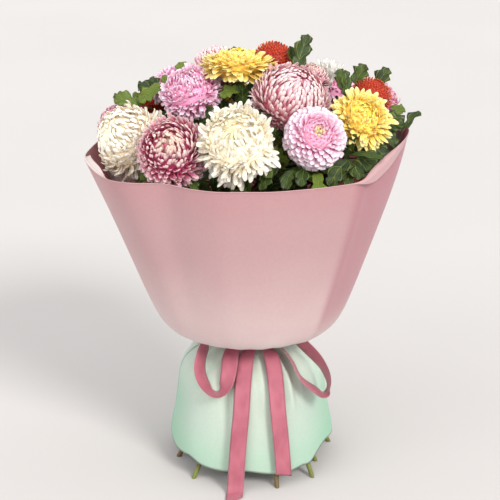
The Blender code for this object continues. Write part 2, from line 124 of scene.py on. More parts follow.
# ================================================================ materials
class Paint:
    """A Principled material and the kinds of node that it is built from. Colours are in hexadecimal."""

    def __init__(self, name, **constants):
        self.material = bpy.data.materials.new(name)
        self.material.use_nodes = True
        self.tree = self.material.node_tree
        self.shader = self.tree.nodes["Principled BSDF"]
        for socket, value in constants.items():
            self.shader.inputs[socket.replace("_", " ")].default_value = value

    def plug(self, socket, value):
        if isinstance(value, bpy.types.NodeSocket):
            self.tree.links.new(value, socket)
        else:
            socket.default_value = srgb(value) if isinstance(value, str) else value

    def node(self, kind, inputs=(), output=0, **settings):
        made = self.tree.nodes.new("ShaderNode" + kind)
        for name, value in settings.items():
            setattr(made, name, value)
        for socket, value in dict(inputs).items():
            self.plug(made.inputs[socket], value)
        return made.outputs[output]

    def attributes(self, *names):
        return [self.node("Attribute", output="Fac", attribute_name=name) for name in names]

    def math(self, operation, a, b=0.0):
        return self.node("Math", {0: a, 1: b}, operation=operation)

    def plus(self, a, b):
        return self.math("ADD", a, b)

    def times(self, a, b):
        return self.math("MULTIPLY", a, b)

    def zigzag(self, value):
        return self.math("PINGPONG", value, 0.5)

    def smooth(self, value, low, high, to_low=0.0, to_high=1.0):
        inputs = {"Value": value, "From Min": low, "From Max": high, "To Min": to_low, "To Max": to_high}
        return self.node("MapRange", inputs, interpolation_type="SMOOTHSTEP")

    def mix(self, share, a, b, blend="MIX"):
        return self.node("Mix", {0: share, 6: a, 7: b}, 2, data_type="RGBA", blend_type=blend)

    def shaded(self, colour, value):
        grey = self.node("CombineColor", {0: value, 1: value, 2: value})
        return self.mix(1.0, colour, grey, "MULTIPLY")

    def vector(self, x, y, z=0.0):
        return self.node("CombineXYZ", {0: x, 1: y, 2: z})

    def place(self):
        return self.node("TexCoord", output="Object")

    def noise(self, place, scale, detail=2.0, roughness=0.5):
        inputs = {"Vector": place, "Scale": scale, "Detail": detail, "Roughness": roughness}
        return self.node("TexNoise", inputs, "Fac")

    def finished(self, colour, height=None, distance=0.0, roughness=None):
        """The material, with its colour, its bump of that height and distance, and its roughness."""
        self.plug(self.shader.inputs["Base Color"], colour)
        if height is not None:
            bump = self.node("Bump", {"Height": height, "Distance": distance, "Strength": 1.0})
            self.plug(self.shader.inputs["Normal"], bump)
        if roughness is not None:
            self.plug(self.shader.inputs["Roughness"], roughness)
        return self.material


def petal_material(name, colours, eye_size, rim, tip_start):
    """Petals with a face that shades over three colours from root to tip, a back of its own and an eye.

    colours are those of the face at its root, middle and tip, of the back at its root and tip, of the young
    petals in the eye, and of the tint of the painted shade that darkens the roots, where shade falls between
    the petals. rim says how far a petal's edges take its tip's colour."""
    root, middle, tip, back_root, back_tip, eye, root_shade_tint = colours.split()
    paint = Paint(name + " petals", Roughness=0.55, Subsurface_Weight=0.48, Subsurface_Scale=0.0018,
                  Sheen_Weight=0.10, Sheen_Roughness=0.4, Specular_IOR_Level=0.3)
    paint.shader.inputs["Subsurface Radius"].default_value = (1.0, 0.88, 0.80)
    along, across, seed, inside, age = paint.attributes("along", "across", "seed", "inside", "age")
    edge = paint.math("POWER", paint.math("ABSOLUTE", across), 4.0)
    edge = paint.times(edge, paint.smooth(along, 0.15, 0.7, 0.0, rim))
    face = paint.mix(paint.smooth(along, 0.12, tip_start), root, middle)
    face = paint.mix(paint.smooth(along, tip_start, 0.98), face, tip)
    face = paint.mix(edge, face, tip)
    behind = paint.mix(paint.smooth(along, 0.30, 0.97), back_root, back_tip)
    behind = paint.mix(edge, behind, back_tip)
    colour = paint.mix(paint.smooth(inside, 0.2, 0.8), behind, face)
    colour = paint.mix(paint.smooth(age, 0.3 * eye_size, eye_size, 1.0, 0.0), colour, eye)
    # Each petal is a little lighter or darker than the next one, and is streaked along its length.
    place = paint.vector(paint.times(across, 4.0), paint.times(along, 1.2), paint.times(seed, 97.0))
    streaks = paint.noise(place, 2.2, 3.0)
    shade = paint.plus(paint.smooth(streaks, 0.3, 0.7, 0.93, 1.05), paint.smooth(seed, 0, 1, -0.05, 0.04))
    colour = paint.shaded(colour, shade)
    # Painted shade: the roots are tinted darker, for the shade that falls deep between the petals.
    painted_shade = paint.mix(1.0, colour, root_shade_tint, "MULTIPLY")
    colour = paint.mix(paint.smooth(along, 0.0, 0.5, 0.75, 0.0), colour, painted_shade)
    return paint.finished(colour, streaks, 0.0005, paint.smooth(streaks, 0.3, 0.7, 0.62, 0.48))


def leaf_material():
    paint = Paint("leaf", Roughness=0.45, Subsurface_Weight=0.06, Subsurface_Scale=0.003,
                  Specular_IOR_Level=0.4)
    along, across, seed, inside = paint.attributes("along", "across", "seed", "inside")
    width = paint.math("ABSOLUTE", across)
    # Side veins leave the midrib towards the tip, one into each lobe, with finer ones between them.
    slanted = paint.math("SUBTRACT", along, paint.times(width, 0.24))
    main, fine = (paint.zigzag(paint.times(slanted, number)) for number in (3.0, 12.0))
    midrib = paint.smooth(width, 0.015, 0.08, 1.0, 0.0)
    veins = paint.math("MAXIMUM", midrib, paint.smooth(main, 0.02, 0.10, 0.8, 0.0))
    veins = paint.math("MAXIMUM", veins, paint.smooth(fine, 0.03, 0.16, 0.35, 0.0))
    faint_veins = paint.times(veins, 0.5)
    place = paint.place()
    mottle = paint.noise(place, 60.0, 3.0)
    patches = paint.noise(place, 22.0)
    dark, mid, light = "192c0c", "2f4614", "6e832a"
    colour = paint.mix(paint.smooth(patches, 0.35, 0.65), dark, mid)
    colour = paint.mix(paint.smooth(seed, 0.55, 1.0, 0.0, 0.75), colour, light)
    colour = paint.mix(paint.smooth(mottle, 0.45, 0.75, 0.0, 0.30), colour, light)
    colour = paint.mix(faint_veins, colour, "889b48")
    underside = paint.mix(faint_veins, "607a4a", "8ca06c")
    colour = paint.mix(paint.smooth(inside, 0.1, 0.45), underside, colour)
    height = paint.plus(paint.times(mottle, 0.4), paint.times(veins, -1.0))
    return paint.finished(colour, height, 0.0010, paint.smooth(mottle, 0.3, 0.7, 0.40, 0.58))


def stem_material():
    """Green, ribbed along its length, brown in patches and pale where it is cut."""
    paint = Paint("stem", Roughness=0.5, Specular_IOR_Level=0.4)
    place = paint.place()
    ribs = paint.noise(paint.node("Mapping", {"Vector": place, "Scale": (420, 420, 28)}), 1.0, 3.0)
    patches = paint.noise(place, 22.0)
    height = paint.node("SeparateXYZ", {0: place}, 2)
    facing_up = paint.node("SeparateXYZ", {0: paint.node("NewGeometry", output="Normal")}, 2)
    colour = paint.mix(paint.smooth(patches, 0.42, 0.60), "707830", "64482a")
    colour = paint.mix(paint.smooth(ribs, 0.35, 0.7, 0.0, 0.5), colour, "546828")
    colour = paint.mix(paint.smooth(height, 0.10, 0.32), colour, "426228")
    cut = paint.times(paint.smooth(facing_up, -0.9, -0.97), paint.smooth(height, 0.004, 0.002))
    return paint.finished(paint.mix(cut, colour, "c4c28e"), ribs, 0.0008)


def paper_material(name, stops, layered_and_shaded, pale_and_painted_light):
    """Soft non-woven sheet.

    stops are (along, colour) pairs from its low edge up. The sheet's attributes mix in the deeper colour,
    where two layers lie on each other and as painted shade, and the milky one, for the back of the sheet
    where it is turned and as painted light where the light comes through."""
    paint = Paint(name, Roughness=0.62, Subsurface_Weight=0.10, Subsurface_Scale=0.006, Sheen_Weight=0.10,
                  Sheen_Roughness=0.5, Specular_IOR_Level=0.3)
    along, layer, pale = paint.attributes("along", "layer", "pale")
    place = paint.place()
    reach = paint.plus(along, paint.smooth(paint.noise(place, 5.0), 0.3, 0.7, -0.04, 0.04))
    colour = stops[0][1]
    for (low, _), (high, above) in zip(stops, stops[1:]):
        colour = paint.mix(paint.smooth(reach, low, high), colour, above)
    colour = paint.mix(layer, colour, layered_and_shaded)
    colour = paint.mix(pale, colour, pale_and_painted_light)
    fibres = paint.noise(place, 900.0, 4.0, 0.65)
    pressed = paint.noise(place, 240.0)
    colour = paint.shaded(colour, paint.smooth(paint.plus(fibres, pressed), 0.7, 1.3, 0.975, 1.02))
    height = paint.plus(fibres, paint.times(pressed, 0.6))
    return paint.finished(colour, height, 0.00022, paint.smooth(fibres, 0.35, 0.7, 0.55, 0.72))


def satin_material():
    """Rose satin with a fine diagonal weave and tight woven edges on both sides, its sheen painted: lighter
    and darker patches along it, paler threads in the weave and lighter edges.
    """
    paint = Paint("satin ribbon", Roughness=0.4, Anisotropic=0.4, Sheen_Weight=0.35, Sheen_Roughness=0.35,
                  Specular_IOR_Level=0.55)
    metres, across = paint.attributes("metres", "across")
    threads = 1 / 0.0011
    sideways = paint.times(across, 0.0125)
    rising = paint.zigzag(paint.times(paint.plus(metres, sideways), threads))
    falling = paint.zigzag(paint.times(paint.math("SUBTRACT", metres, sideways), threads))
    weave = paint.times(paint.times(rising, falling), 4.0)
    selvedge_and_highlight = paint.smooth(paint.math("ABSOLUTE", across), 0.92, 0.97)
    painted_sheen = paint.noise(paint.vector(paint.times(metres, 14.0), paint.times(across, 0.3)), 2.0)
    # Painted sheen and highlights: long patches along the ribbon are painted lighter and darker, the weave's
    # threads paler, and both edges lighter, as a bright rim.
    colour = paint.mix(paint.smooth(painted_sheen, 0.28, 0.72), "944254", "a85868")
    colour = paint.mix(paint.smooth(weave, 0.0, 1.0, 0.0, 0.40), colour, "ce8a96")
    colour = paint.mix(paint.times(selvedge_and_highlight, 0.7), colour, "d496a2")
    roughness = paint.plus(paint.smooth(weave, 0.0, 1.0, 0.5, 0.36), paint.times(selvedge_and_highlight, 0.12))
    return paint.finished(colour, paint.plus(weave, paint.times(selvedge_and_highlight, 2.0)), 0.00018, roughness)


def twine_material():
    paint = Paint("twine", Roughness=0.9)
    metres, across = paint.attributes("metres", "across")
    ply = paint.zigzag(paint.plus(paint.times(metres, 300.0), across))
    fuzz = paint.noise(paint.place(), 1500.0, 3.0)
    colour = paint.mix(paint.smooth(ply, 0.0, 0.5), "785c38", "c4a87a")
    colour = paint.mix(paint.smooth(fuzz, 0.4, 0.7, 0.0, 0.4), colour, "d6be94")
    return paint.finished(colour, paint.plus(ply, paint.times(fuzz, 0.3)), 0.0012)


# ================================================================ meshes
def new_object(name, data):
    obj = bpy.data.objects.new(name, data)
    bpy.context.scene.collection.objects.link(obj)
    return obj


def add_piece(name, points, faces, material, attributes, replaced=()):
    """A smooth mesh that rides with the bouquet and stands for the CAD nodes in replaced."""
    mesh = bpy.data.meshes.new(name)
    mesh.from_pydata(np.asarray(points).tolist(), [], [list(face) for face in faces])
    for key, values in attributes.items():
        spread = np.full(len(points), values, np.float32)
        mesh.attributes.new(key, "FLOAT", "POINT").data.foreach_set("value", spread)
    mesh.materials.append(material)
    mesh.shade_smooth()
    obj = new_object(name, mesh)
    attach(obj, "root")
    if replaced:
        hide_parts(*replaced)
    return obj


def blade_faces(rows, columns):
    """Quads for the front and back of one grid whose back shares the front's rim.

    The front's corners come first, row by row, and then the back's inner ones."""
    front = np.arange(rows * columns).reshape(rows, columns)
    back = front.copy()
    back[1:-1, 1:-1] = rows * columns + np.arange((rows - 2) * (columns - 2)).reshape(rows - 2, columns - 2)

    def quads(grid, order):
        around = [grid[:-1, :-1], grid[:-1, 1:], grid[1:, 1:], grid[1:, :-1]]
        return np.stack([around[k] for k in order], axis=-1).reshape(-1, 4)

    return np.vstack([quads(front, (0, 1, 2, 3)), quads(back, (3, 2, 1, 0))])


def blades(middle, normals, half, facts):
    """Points, faces and attributes of many blades at once.

    middle and normals are (blades, rows, columns, 3), and half is half the thickness at each grid point.
    facts maps an attribute to values that spread over (blades, rows, columns)."""
    count, rows, columns = middle.shape[:3]

    def both_sides(front, back):
        return np.concatenate([front.reshape(count, rows * columns, -1),
                               back[:, 1:-1, 1:-1].reshape(count, (rows - 2) * (columns - 2), -1)], axis=1)

    offset = normals * half[..., None]
    inside = np.ones((1, rows, columns))
    for grid, at_rim in ((offset, 0), (inside, 0.5)):
        grid[:, [0, -1]] = at_rim
        grid[:, :, [0, -1]] = at_rim
    points = both_sides(middle + offset, middle - offset)
    first = points.shape[1] * np.arange(count)[:, None, None]
    faces = (blade_faces(rows, columns)[None] + first).reshape(-1, 4)
    inside = np.tile(inside, (count, 1, 1))
    attributes = {"inside": both_sides(inside, 0 * inside).ravel()}
    for key, values in facts.items():
        full = np.broadcast_to(values, (count, rows, columns))
        attributes[key] = both_sides(full, full).ravel()
    return points.reshape(-1, 3), faces, attributes


def grid_normals(grid):
    """Unit normals of (blades, rows, columns, 3) grids, on the side from which rows x columns turn left."""
    normal = np.cross(np.gradient(grid, axis=2), np.gradient(grid, axis=1))
    return normal / np.maximum(np.linalg.norm(normal, axis=-1, keepdims=True), 1e-12)


def wound_with(points, faces, chosen, normal):
    """Faces wound so that the chosen one looks along the normal."""
    a, b, c = points[faces[chosen][:3]]
    return faces if np.dot(np.cross(b - a, c - a), normal) > 0 else faces[:, ::-1]


def shell(rings, ends, turned=False):
    """Points and faces of a shell through rings of points, closed by a cap from each end ring to its end."""
    count, sides = rings.shape[:2]
    points = np.vstack([rings.reshape(-1, 3), ends])
    low_end, last = len(points) - 2, (count - 1) * sides
    faces = []
    for k in range(sides):
        n = (k + 1) % sides
        faces += [(ring + k, ring + n, ring + sides + n, ring + sides + k) for ring in range(0, last, sides)]
        faces += [(low_end, n, k), (low_end + 1, last + k, last + n)]
    return points, [(face[0], *face[:0:-1]) for face in faces] if turned else faces


# ================================================================ blooms
def bloom_place(name):
    """Centre, axis towards the face of the flower, radius and half height of a bloom's solid."""
    points = node_points("bloom_" + name)
    middle = points.mean(axis=0)
    stem = node_points("stem_" + name)
    ring = 8
    stem_end = stem[np.argsort(np.linalg.norm(stem - middle, axis=1))[:ring]].mean(axis=0)
    axis = unit(middle - stem_end)
    height, aside = seen_along(points, middle, axis)
    centre = middle + axis * (height.max() + height.min()) / 2
    return centre, axis, aside.max(), (height.max() - height.min()) / 2


def over_age(values, age):
    """A value given at the middle of the bloom, half way out and at its outside."""
    return np.interp(age, (0, 0.5, 1), values)


def fraction(seed, factor):
    """Another random number from 0 to 1 out of a petal's seed."""
    return (seed * factor) % 1


def petal_outline(along, swell, close, roundness):
    """Half width of a petal over its length, at most 1."""
    def raw(t):
        return (t + 0.10) ** swell * np.maximum(1 - t**close, 0) ** roundness
    return raw(along) / raw(np.linspace(0, 1, 200)).max()


def dome(angle, radius, half):
    """Distance from the middle of a bloom to its dome, at this angle from its axis."""
    return 1 / np.hypot(np.sin(angle) / radius, np.cos(angle) / half)


def petal_grid(style, radius, half, azimuth, towards, age, seed, reach):
    """Petals of one bloom in its own frame, with its axis along +Z.

    towards is the angle from the axis at which each tip lies, on a dome of that radius and half height."""
    rows, columns = style["mesh"]
    bend = style["bend"]
    unruly = math.radians(style["unruly"]) * (fraction(seed, 7.3) - 0.5)
    flare = np.radians(over_age(style["flare"], age)) + unruly
    curl = (flare - math.pi / 2) * (bend + 1) / bend
    width = radius * over_age(style["width"], age) * (0.85 + 0.30 * fraction(seed, 3.7))
    cup = over_age(style["cup"], age)

    along = 0.985 * (1 - (1 - np.linspace(0, 1, rows)) ** 1.5)
    across = np.linspace(-1, 1, columns)
    steps = np.diff(along)
    turning = curl[:, None] * ((along[1:] + along[:-1]) / 2) ** bend
    chord_out, chord_up = (np.sin(turning) * steps).sum(axis=1), (np.cos(turning) * steps).sum(axis=1)
    # A petal leads from the core of the bloom to its tip on the dome.
    root_angle = np.minimum(towards + np.radians(over_age(style["lag"], age)), math.radians(165))
    core_top, core_side = style["core"]
    root = dome(root_angle, radius * core_side, half * core_top)
    root_out, root_up = root * np.sin(root_angle), root * np.cos(root_angle)
    tip = reach * dome(towards, radius, half)
    way_out, way_up = tip * np.sin(towards) - root_out, tip * np.cos(towards) - root_up
    tilt = np.arctan2(way_out, way_up) - np.arctan2(chord_out, chord_up)
    length = np.hypot(way_out, way_up) / np.hypot(chord_out, chord_up)

    leaning = tilt[:, None] + turning
    zero = np.zeros((len(age), 1))
    out = root_out[:, None] + np.hstack([zero, np.cumsum(np.sin(leaning) * steps, axis=1)]) * length[:, None]
    up = root_up[:, None] + np.hstack([zero, np.cumsum(np.cos(leaning) * steps, axis=1)]) * length[:, None]
    sway = ((fraction(seed, 13.1) - 0.5) * style["sway"] + style["swirl"]) * length
    sideways = sway[:, None] * along**2

    lean = tilt[:, None] + curl[:, None] * along**bend
    radial = around_axis(1, azimuth, 0.0)[:, None]
    lateral = stacked(-np.sin(azimuth), np.cos(azimuth), 0.0)[:, None]
    rise = np.array([0, 0, 1.0])
    inner = -np.cos(lean)[..., None] * radial + np.sin(lean)[..., None] * rise
    twist = (fraction(seed, 5.9) - 0.5)[:, None] * style["twist"] * along
    side = np.cos(twist)[..., None] * lateral + np.sin(twist)[..., None] * inner
    inner = np.cos(twist)[..., None] * inner - np.sin(twist)[..., None] * lateral

    spine = out[..., None] * radial + up[..., None] * rise + sideways[..., None] * lateral
    half_width = width[:, None] / 2 * petal_outline(along, *style["outline"])
    rolled = cup[:, None] * (1 - 0.35 * along**4)
    roll = rolled[..., None] * across
    arc = half_width / rolled
    middle = (spine[:, :, None] + (arc[..., None] * np.sin(roll))[..., None] * side[:, :, None]
              + (arc[..., None] * (1 - np.cos(roll)))[..., None] * inner[:, :, None])
    normals = np.cos(roll)[..., None] * inner[:, :, None] - np.sin(roll)[..., None] * side[:, :, None]
    if style["notch"]:
        pull = style["notch"] * length[:, None, None] * along[:, None] ** 10 * (1 - across**2)
        run = np.sin(lean)[..., None] * radial + np.cos(lean)[..., None] * rise
        middle = middle - pull[..., None] * run[:, :, None]
    thickness = PETAL_HALF_THICKNESS * (1 - 0.6 * across**2) * np.ones((len(age), rows, columns))
    facts = {"along": along[None, :, None], "across": across, "age": age[:, None, None],
             "seed": seed[:, None, None]}
    return middle, normals, thickness, facts


PETAL_HALF_THICKNESS = 0.00022
# Where a value has three numbers, they are for the middle of the bloom, half way out and its outside.
#   count, mesh: how many petals, and the rows and columns of each
#   span, spacing: the angle from the axis to the outermost tips, and how the petals crowd towards the outside
#   flare: 90 degrees on a straight petal, less where it curves in and more where it curves out
#   width, cup, outline: its width as a share of the radius, how far its edges roll in, and its shape
#   core, lag: the size of the heart that the petals start from, up the axis and sideways, and how much
#   further from the axis than their tips they start
#   scatter, unruly, sway, swirl, twist, uneven, notch: how much the petals differ, turn and part at the tip
PLAIN = dict(mesh=(7, 5), span=118, spacing=0.60, scatter=0.12, unruly=20, sway=0.20, swirl=0.0, twist=0.6,
             notch=0.0, bend=1.6, core=(0.5, 0.5), lag=(25, 20, 12), uneven=0.04)
STYLES = {
    # Loose ball of broad white petals, the inner ones curved in and the outer ones curved out.
    "decorative": dict(PLAIN, count=540, span=114, spacing=0.63, flare=(48, 72, 112),
        width=(0.13, 0.16, 0.18), unruly=60, cup=(1.0, 0.7, 0.6), outline=(0.6, 3.6, 0.6), twist=1.2,
        sway=0.5, core=(0.90, 0.82), lag=(20, 2, -14), uneven=0.10),
    # Ball of rolled petals that curve in round a swirl.
    "quill": dict(PLAIN, count=640, span=116, spacing=0.64, flare=(50, 68, 106), swirl=0.16,
        width=(0.13, 0.135, 0.17), cup=(1.2, 1.0, 0.9), outline=(0.9, 7, 0.5), scatter=0.12, unruly=50,
        core=(0.82, 0.60), lag=(22, 12, -10), uneven=0.05),
    # Ball whose petals all curl inwards.
    "incurved": dict(PLAIN, count=480, span=116, spacing=0.64, flare=(34, 52, 84), width=(0.16, 0.18, 0.19),
        cup=(1.0, 0.9, 0.8), outline=(0.7, 7, 0.5), unruly=50, scatter=0.12, sway=0.5, core=(0.92, 0.86),
        lag=(20, 10, -4), uneven=0.05),
    # Loose and frilly, with notched tips.
    "fluffy": dict(PLAIN, count=430, span=114, spacing=0.64, flare=(60, 78, 100), notch=0.06,
        width=(0.11, 0.17, 0.19), cup=(1.2, 1.0, 0.8), outline=(0.8, 7, 0.4), scatter=0.26, unruly=80,
        twist=1.6, sway=0.4, core=(0.76, 0.70), lag=(20, 4, -8), uneven=0.07),
    # Flat, with pointed petals.
    "pointed": dict(PLAIN, mesh=(6, 5), count=340, span=106, flare=(50, 84, 104), unruly=56,
        width=(0.13, 0.195, 0.215), cup=(1.0, 0.7, 0.5), outline=(0.6, 2.4, 0.8), scatter=0.24, sway=0.5,
        core=(0.77, 0.63), lag=(20, 4, -6), uneven=0.08),
    # Small hard button of short quills.
    "button": dict(PLAIN, mesh=(6, 5), count=420, span=122, spacing=0.52, flare=(70, 80, 86),
        width=(0.09, 0.10, 0.11), cup=(1.5, 1.4, 1.2), outline=(0.6, 5, 0.6), sway=0.1, scatter=0.06,
        core=(0.84, 0.80), lag=(8, 4, 0), uneven=0.02),
    # Long rolled petals that rise from the base and curve in over the flower.
    "fountain": dict(PLAIN, count=460, span=112, spacing=0.64, flare=(44, 58, 72), bend=2.2,
        width=(0.12, 0.13, 0.145), cup=(1.4, 1.2, 1.1), outline=(0.7, 6, 0.5), core=(0.79, 0.67),
        lag=(34, 26, 12), unruly=26, scatter=0.08),
    # Neat ball of short cupped petals in spirals.
    "formal": dict(PLAIN, count=250, span=114, spacing=0.68, flare=(70, 92, 106), scatter=0.07,
        width=(0.14, 0.22, 0.27), cup=(1.1, 1.0, 0.8), outline=(0.9, 7, 0.45), sway=0.10, twist=0.5,
        unruly=22, core=(0.76, 0.62), lag=(12, -8, -20), uneven=0.035),
    # Half open, its petals still upright.
    "upright": dict(PLAIN, count=84, span=52, flare=(80, 86, 98), width=(0.20, 0.24, 0.26), uneven=0.16,
        cup=(1.1, 0.9, 0.8), outline=(0.5, 2.6, 0.7), core=(0.5, 0.3), lag=(140, 125, 105)),
}
# variety: the colours of petal_material, the last of them tinting the painted shade at the roots, the size of
# the eye, the tint of the rim and where the tip's colour starts
PETALS = {name: petal_material(name, *values) for name, *values in (
    ("white", "fff2d4 fdf3de fcf3e1 fff3da fdf5e4 fdeebe fff2de", 0.05, 0.4, 0.55),
    ("cream", "ffeace fef0da fdf0dc fff0da fef3e2 fdf0d0 fff0e0", 0.06, 0.4, 0.55),
    ("burgundy", "be3a6a d9628e f6cace ce5c8a f6d4ce f0c8b8 eeb2ca", 0.1, 0.5, 0.5),
    ("pink", "dc70a4 f2accc fcdcec e894be fad4e6 f4c8dc ecb4d6", 0.1, 0.4, 0.5),
    ("golden", "fece50 ffdb68 ffeda4 ffd860 ffea88 fee650 fee2aa", 0.06, 0.4, 0.55),
    ("brick", "5a0b04 c22e12 f07032 9a1e0a de5222 ac3012 e08c6e", 0.05, 0.3, 0.7),
    ("rose", "e07e90 ec9aa8 f7ccce ea96a8 fbdcda f0bac2 ecb4be", 0.05, 0.5, 0.5),
    ("lilac", "de8aac f2bfd4 fde5f0 e692c4 f9d4ea e8dc8c ecb0ce", 0.05, 0.5, 0.6),
    ("mauve", "964260 c47690 e8b4be b86a84 e2aeb8 c8829a dca6b6", 0.04, 0.4, 0.55),
    ("ivory", "f0eece fdfaee fffef8 f8f4e0 fefbf2 faf6e4 f4ecd4", 0.03, 0.4, 0.55),
)}
# bloom: style, petals, how much the petals reach past the solid sideways and along the axis, and where some
# reach further still, as (direction, spread in degrees, factor)
UP, DOWN, LEFT, RIGHT = (0, -0.5, 1), (0, -0.9, -0.6), (-1, -0.3, 0), (1, -0.4, -0.1)
BLOOMS = {
    "white_front": ("decorative", "white", 1.05, 1.62, (
        (LEFT, 50, 1.06), ((1, 0, 0), 50, 0.90), (UP, 34, 1.18), (DOWN, 36, 1.20), ((1, -0.5, 0.9), 13, 1.36),
        ((1, -0.4, -0.35), 14, 1.42), ((-0.3, -0.4, -0.9), 12, 1.3))),
    "burgundy_front": ("quill", "burgundy", 1.13, 1.58, ((UP, 40, 1.06), (DOWN, 40, 1.08))),
    "white_side": ("incurved", "cream", 1.05, 1.64, (
        (UP, 36, 1.10), (DOWN, 44, 1.32), (LEFT, 40, 0.86), (RIGHT, 50, 1.06),
        ((0.75, -0.3, 0.9), 11, 1.55))),
    "lilac_side": ("fluffy", "pink", 1.08, 1.40, ()),
    "yellow_top": ("pointed", "golden", 1.38, 1.20, ((UP, 40, 0.99), (DOWN, 50, 1.20))),
    "red_inner": ("button", "brick", 1.04, 1.05, ()),
    "rose_front": ("fountain", "rose", 1.24, 1.50, ()),
    "lilac_front": ("formal", "lilac", 1.14, 1.42, ((DOWN, 30, 1.05),)),
    "yellow_side": ("pointed", "golden", 1.16, 1.36, ((DOWN, 40, 1.02),)),
    "red_side": ("button", "brick", 1.12, 1.14, ()),
    "white_inner": ("upright", "ivory", 1.30, 1.05, ()),
    # From here on they are half hidden, and have fewer petals.
    "burgundy_inner": ("quill", "burgundy", 1.15, 1.45, ()),
    "mauve_side": ("incurved", "mauve", 0.92, 1.25, ()),
    "mauve_back": ("incurved", "mauve", 1.12, 1.50, ()),
    "lilac_inner": ("formal", "lilac", 1.12, 1.40, ()),
    "lilac_back": ("fluffy", "pink", 1.20, 1.45, ()),
    "white_back": ("decorative", "white", 1.20, 1.60, ()),
    "yellow_back": ("pointed", "golden", 1.30, 1.40, ()),
    "red_back": ("button", "brick", 1.06, 1.10, ()),
    "rose_inner": ("fountain", "rose", 1.20, 1.45, ()),
}
FULLY_SEEN, HIDDEN_SHARE = 11, 0.62


def make_bloom(serial, name):
    style_name, petals, wider, higher, stretches = BLOOMS[name]
    style = STYLES[style_name]
    node = "bloom_" + name
    centre, axis, solid_radius, solid_half = bloom_place(name)
    radius, half = solid_radius * wider, solid_half * higher
    rng = np.random.default_rng(BLOOM_SEED + serial)
    count = round(style["count"] * (1 if serial < FULLY_SEEN else HIDDEN_SHARE))
    age = (np.arange(count) + 0.5) / count
    azimuth = GOLDEN_ANGLE * np.arange(count) + rng.normal(0, 0.35 * style["scatter"], count)
    towards = math.radians(style["span"]) * age ** style["spacing"]
    towards = np.maximum(towards + rng.normal(0, 0.4, count) * style["scatter"], 0.01)
    reach = rng.normal(1, style["uneven"], count)
    not_an_axis = (0.3, 0.1, 0.9)
    side = unit(np.cross(axis, not_an_axis))
    turn = np.array([side, np.cross(axis, side), axis])
    heading = around_axis(np.sin(towards), azimuth, np.cos(towards))
    for direction, spread, factor in stretches:
        apart = np.degrees(np.arccos(np.clip(heading @ turn @ unit(direction), -1, 1)))
        reach = reach * (1 + (factor - 1) * np.exp(-((apart / spread) ** 2)) * rng.uniform(0.7, 1.15, count))
    seed = rng.random(count)
    middle, normals, thickness, facts = petal_grid(style, radius, half, azimuth, towards, age, seed, reach)
    points, faces, facts = blades(middle @ turn + centre, normals @ turn, thickness, facts)
    add_piece("petals_" + name, points, faces, PETALS[petals], facts, [node])

    # The core stands for the inner ends of the petals, which close the depth of the bloom.
    core_top, core_side = style["core"]
    points, faces = core_shell(radius * core_side, half * core_top)
    facts = {"along": 0.45, "across": 0, "age": np.arccos(np.clip(unit(points)[:, 2], -1, 1)) / 2.2,
             "seed": 0.5, "inside": 1}
    add_piece("core_" + name, points @ turn + centre, faces, PETALS[petals], facts)
    points, faces = calyx_shell(solid_half, 0.85 * half * core_top, radius)
    facts = {"along": 0.5, "across": 0.5, "seed": 0.5, "inside": 1}
    add_piece("calyx_" + name, points @ turn + centre, faces, GREEN, facts)


def core_shell(radius, half):
    """A ribbed ball, a little larger than radius and half height."""
    rows, columns, larger = 13, 26, 1.06
    polar = np.linspace(0, math.pi, rows)[1:-1, None]
    around = np.linspace(0, math.tau, columns, endpoint=False)
    ribbed = radius * (larger + 0.04 * np.cos(columns / 2 * around))
    rings = around_axis(ribbed * np.sin(polar), around, larger * half * np.cos(polar))
    return shell(rings, [[0, 0, larger * half], [0, 0, -larger * half]], turned=True)


def calyx_shell(solid_half, sink, radius):
    """The green cup under the petals, from the top of the stem to where the petals start."""
    profile = smooth_curve([
        (0.0045, -solid_half), (0.006, -solid_half + 0.003), (0.20 * radius, -sink - 0.0045),
        (0.24 * radius, -sink - 0.001), (0.19 * radius, -sink + 0.003)], 12)
    angle = np.linspace(0, math.tau, 20, endpoint=False)
    scalloped = profile[:, :1] * (1 + 0.06 * np.cos(5 * angle))
    rings = around_axis(scalloped, angle, profile[:, 1:])
    return shell(rings, [[0, 0, profile[0, 1]], [0, 0, profile[-1, 1]]])


# ================================================================ stems
def stem_section(name, height):
    """The middle of a stem at some height, and the way that it runs there."""
    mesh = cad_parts["stem_" + name].data
    ends = np.empty(len(mesh.edges) * 2, int)
    mesh.edges.foreach_get("vertices", ends)
    ends = corners(mesh)[ends.reshape(-1, 2)]

    def middle(z):
        low, high = ends[:, 0], ends[:, 1]
        through = ends[(low[:, 2] - z) * (high[:, 2] - z) < 0]
        share = (z - through[:, 0, 2]) / (through[:, 1, 2] - through[:, 0, 2])
        return (through[:, 0] + share[:, None] * (through[:, 1] - through[:, 0])).mean(axis=0)

    return middle(height), unit(middle(height + 0.004) - middle(height - 0.004))


def dress_stem(name, material):
    """The CAD stem with a rounder skin, a softened cut edge and its material."""
    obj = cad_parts["stem_" + name]
    obj.data.materials.clear()
    obj.data.materials.append(material)
    obj.modifiers.new("weld", "WELD").merge_threshold = 0.00002
    bevel = obj.modifiers.new("cut edge", "BEVEL")
    bevel.width = 0.0005
    bevel.limit_method = "ANGLE"
    bevel.angle_limit = math.radians(60)
    smooth = obj.modifiers.new("round", "SUBSURF")
    smooth.levels = smooth.render_levels = 1


# ================================================================ leaves
LEAF_FACING = unit((0.0, -0.80, 0.60))
HIGHEST_LEAF = 0.585


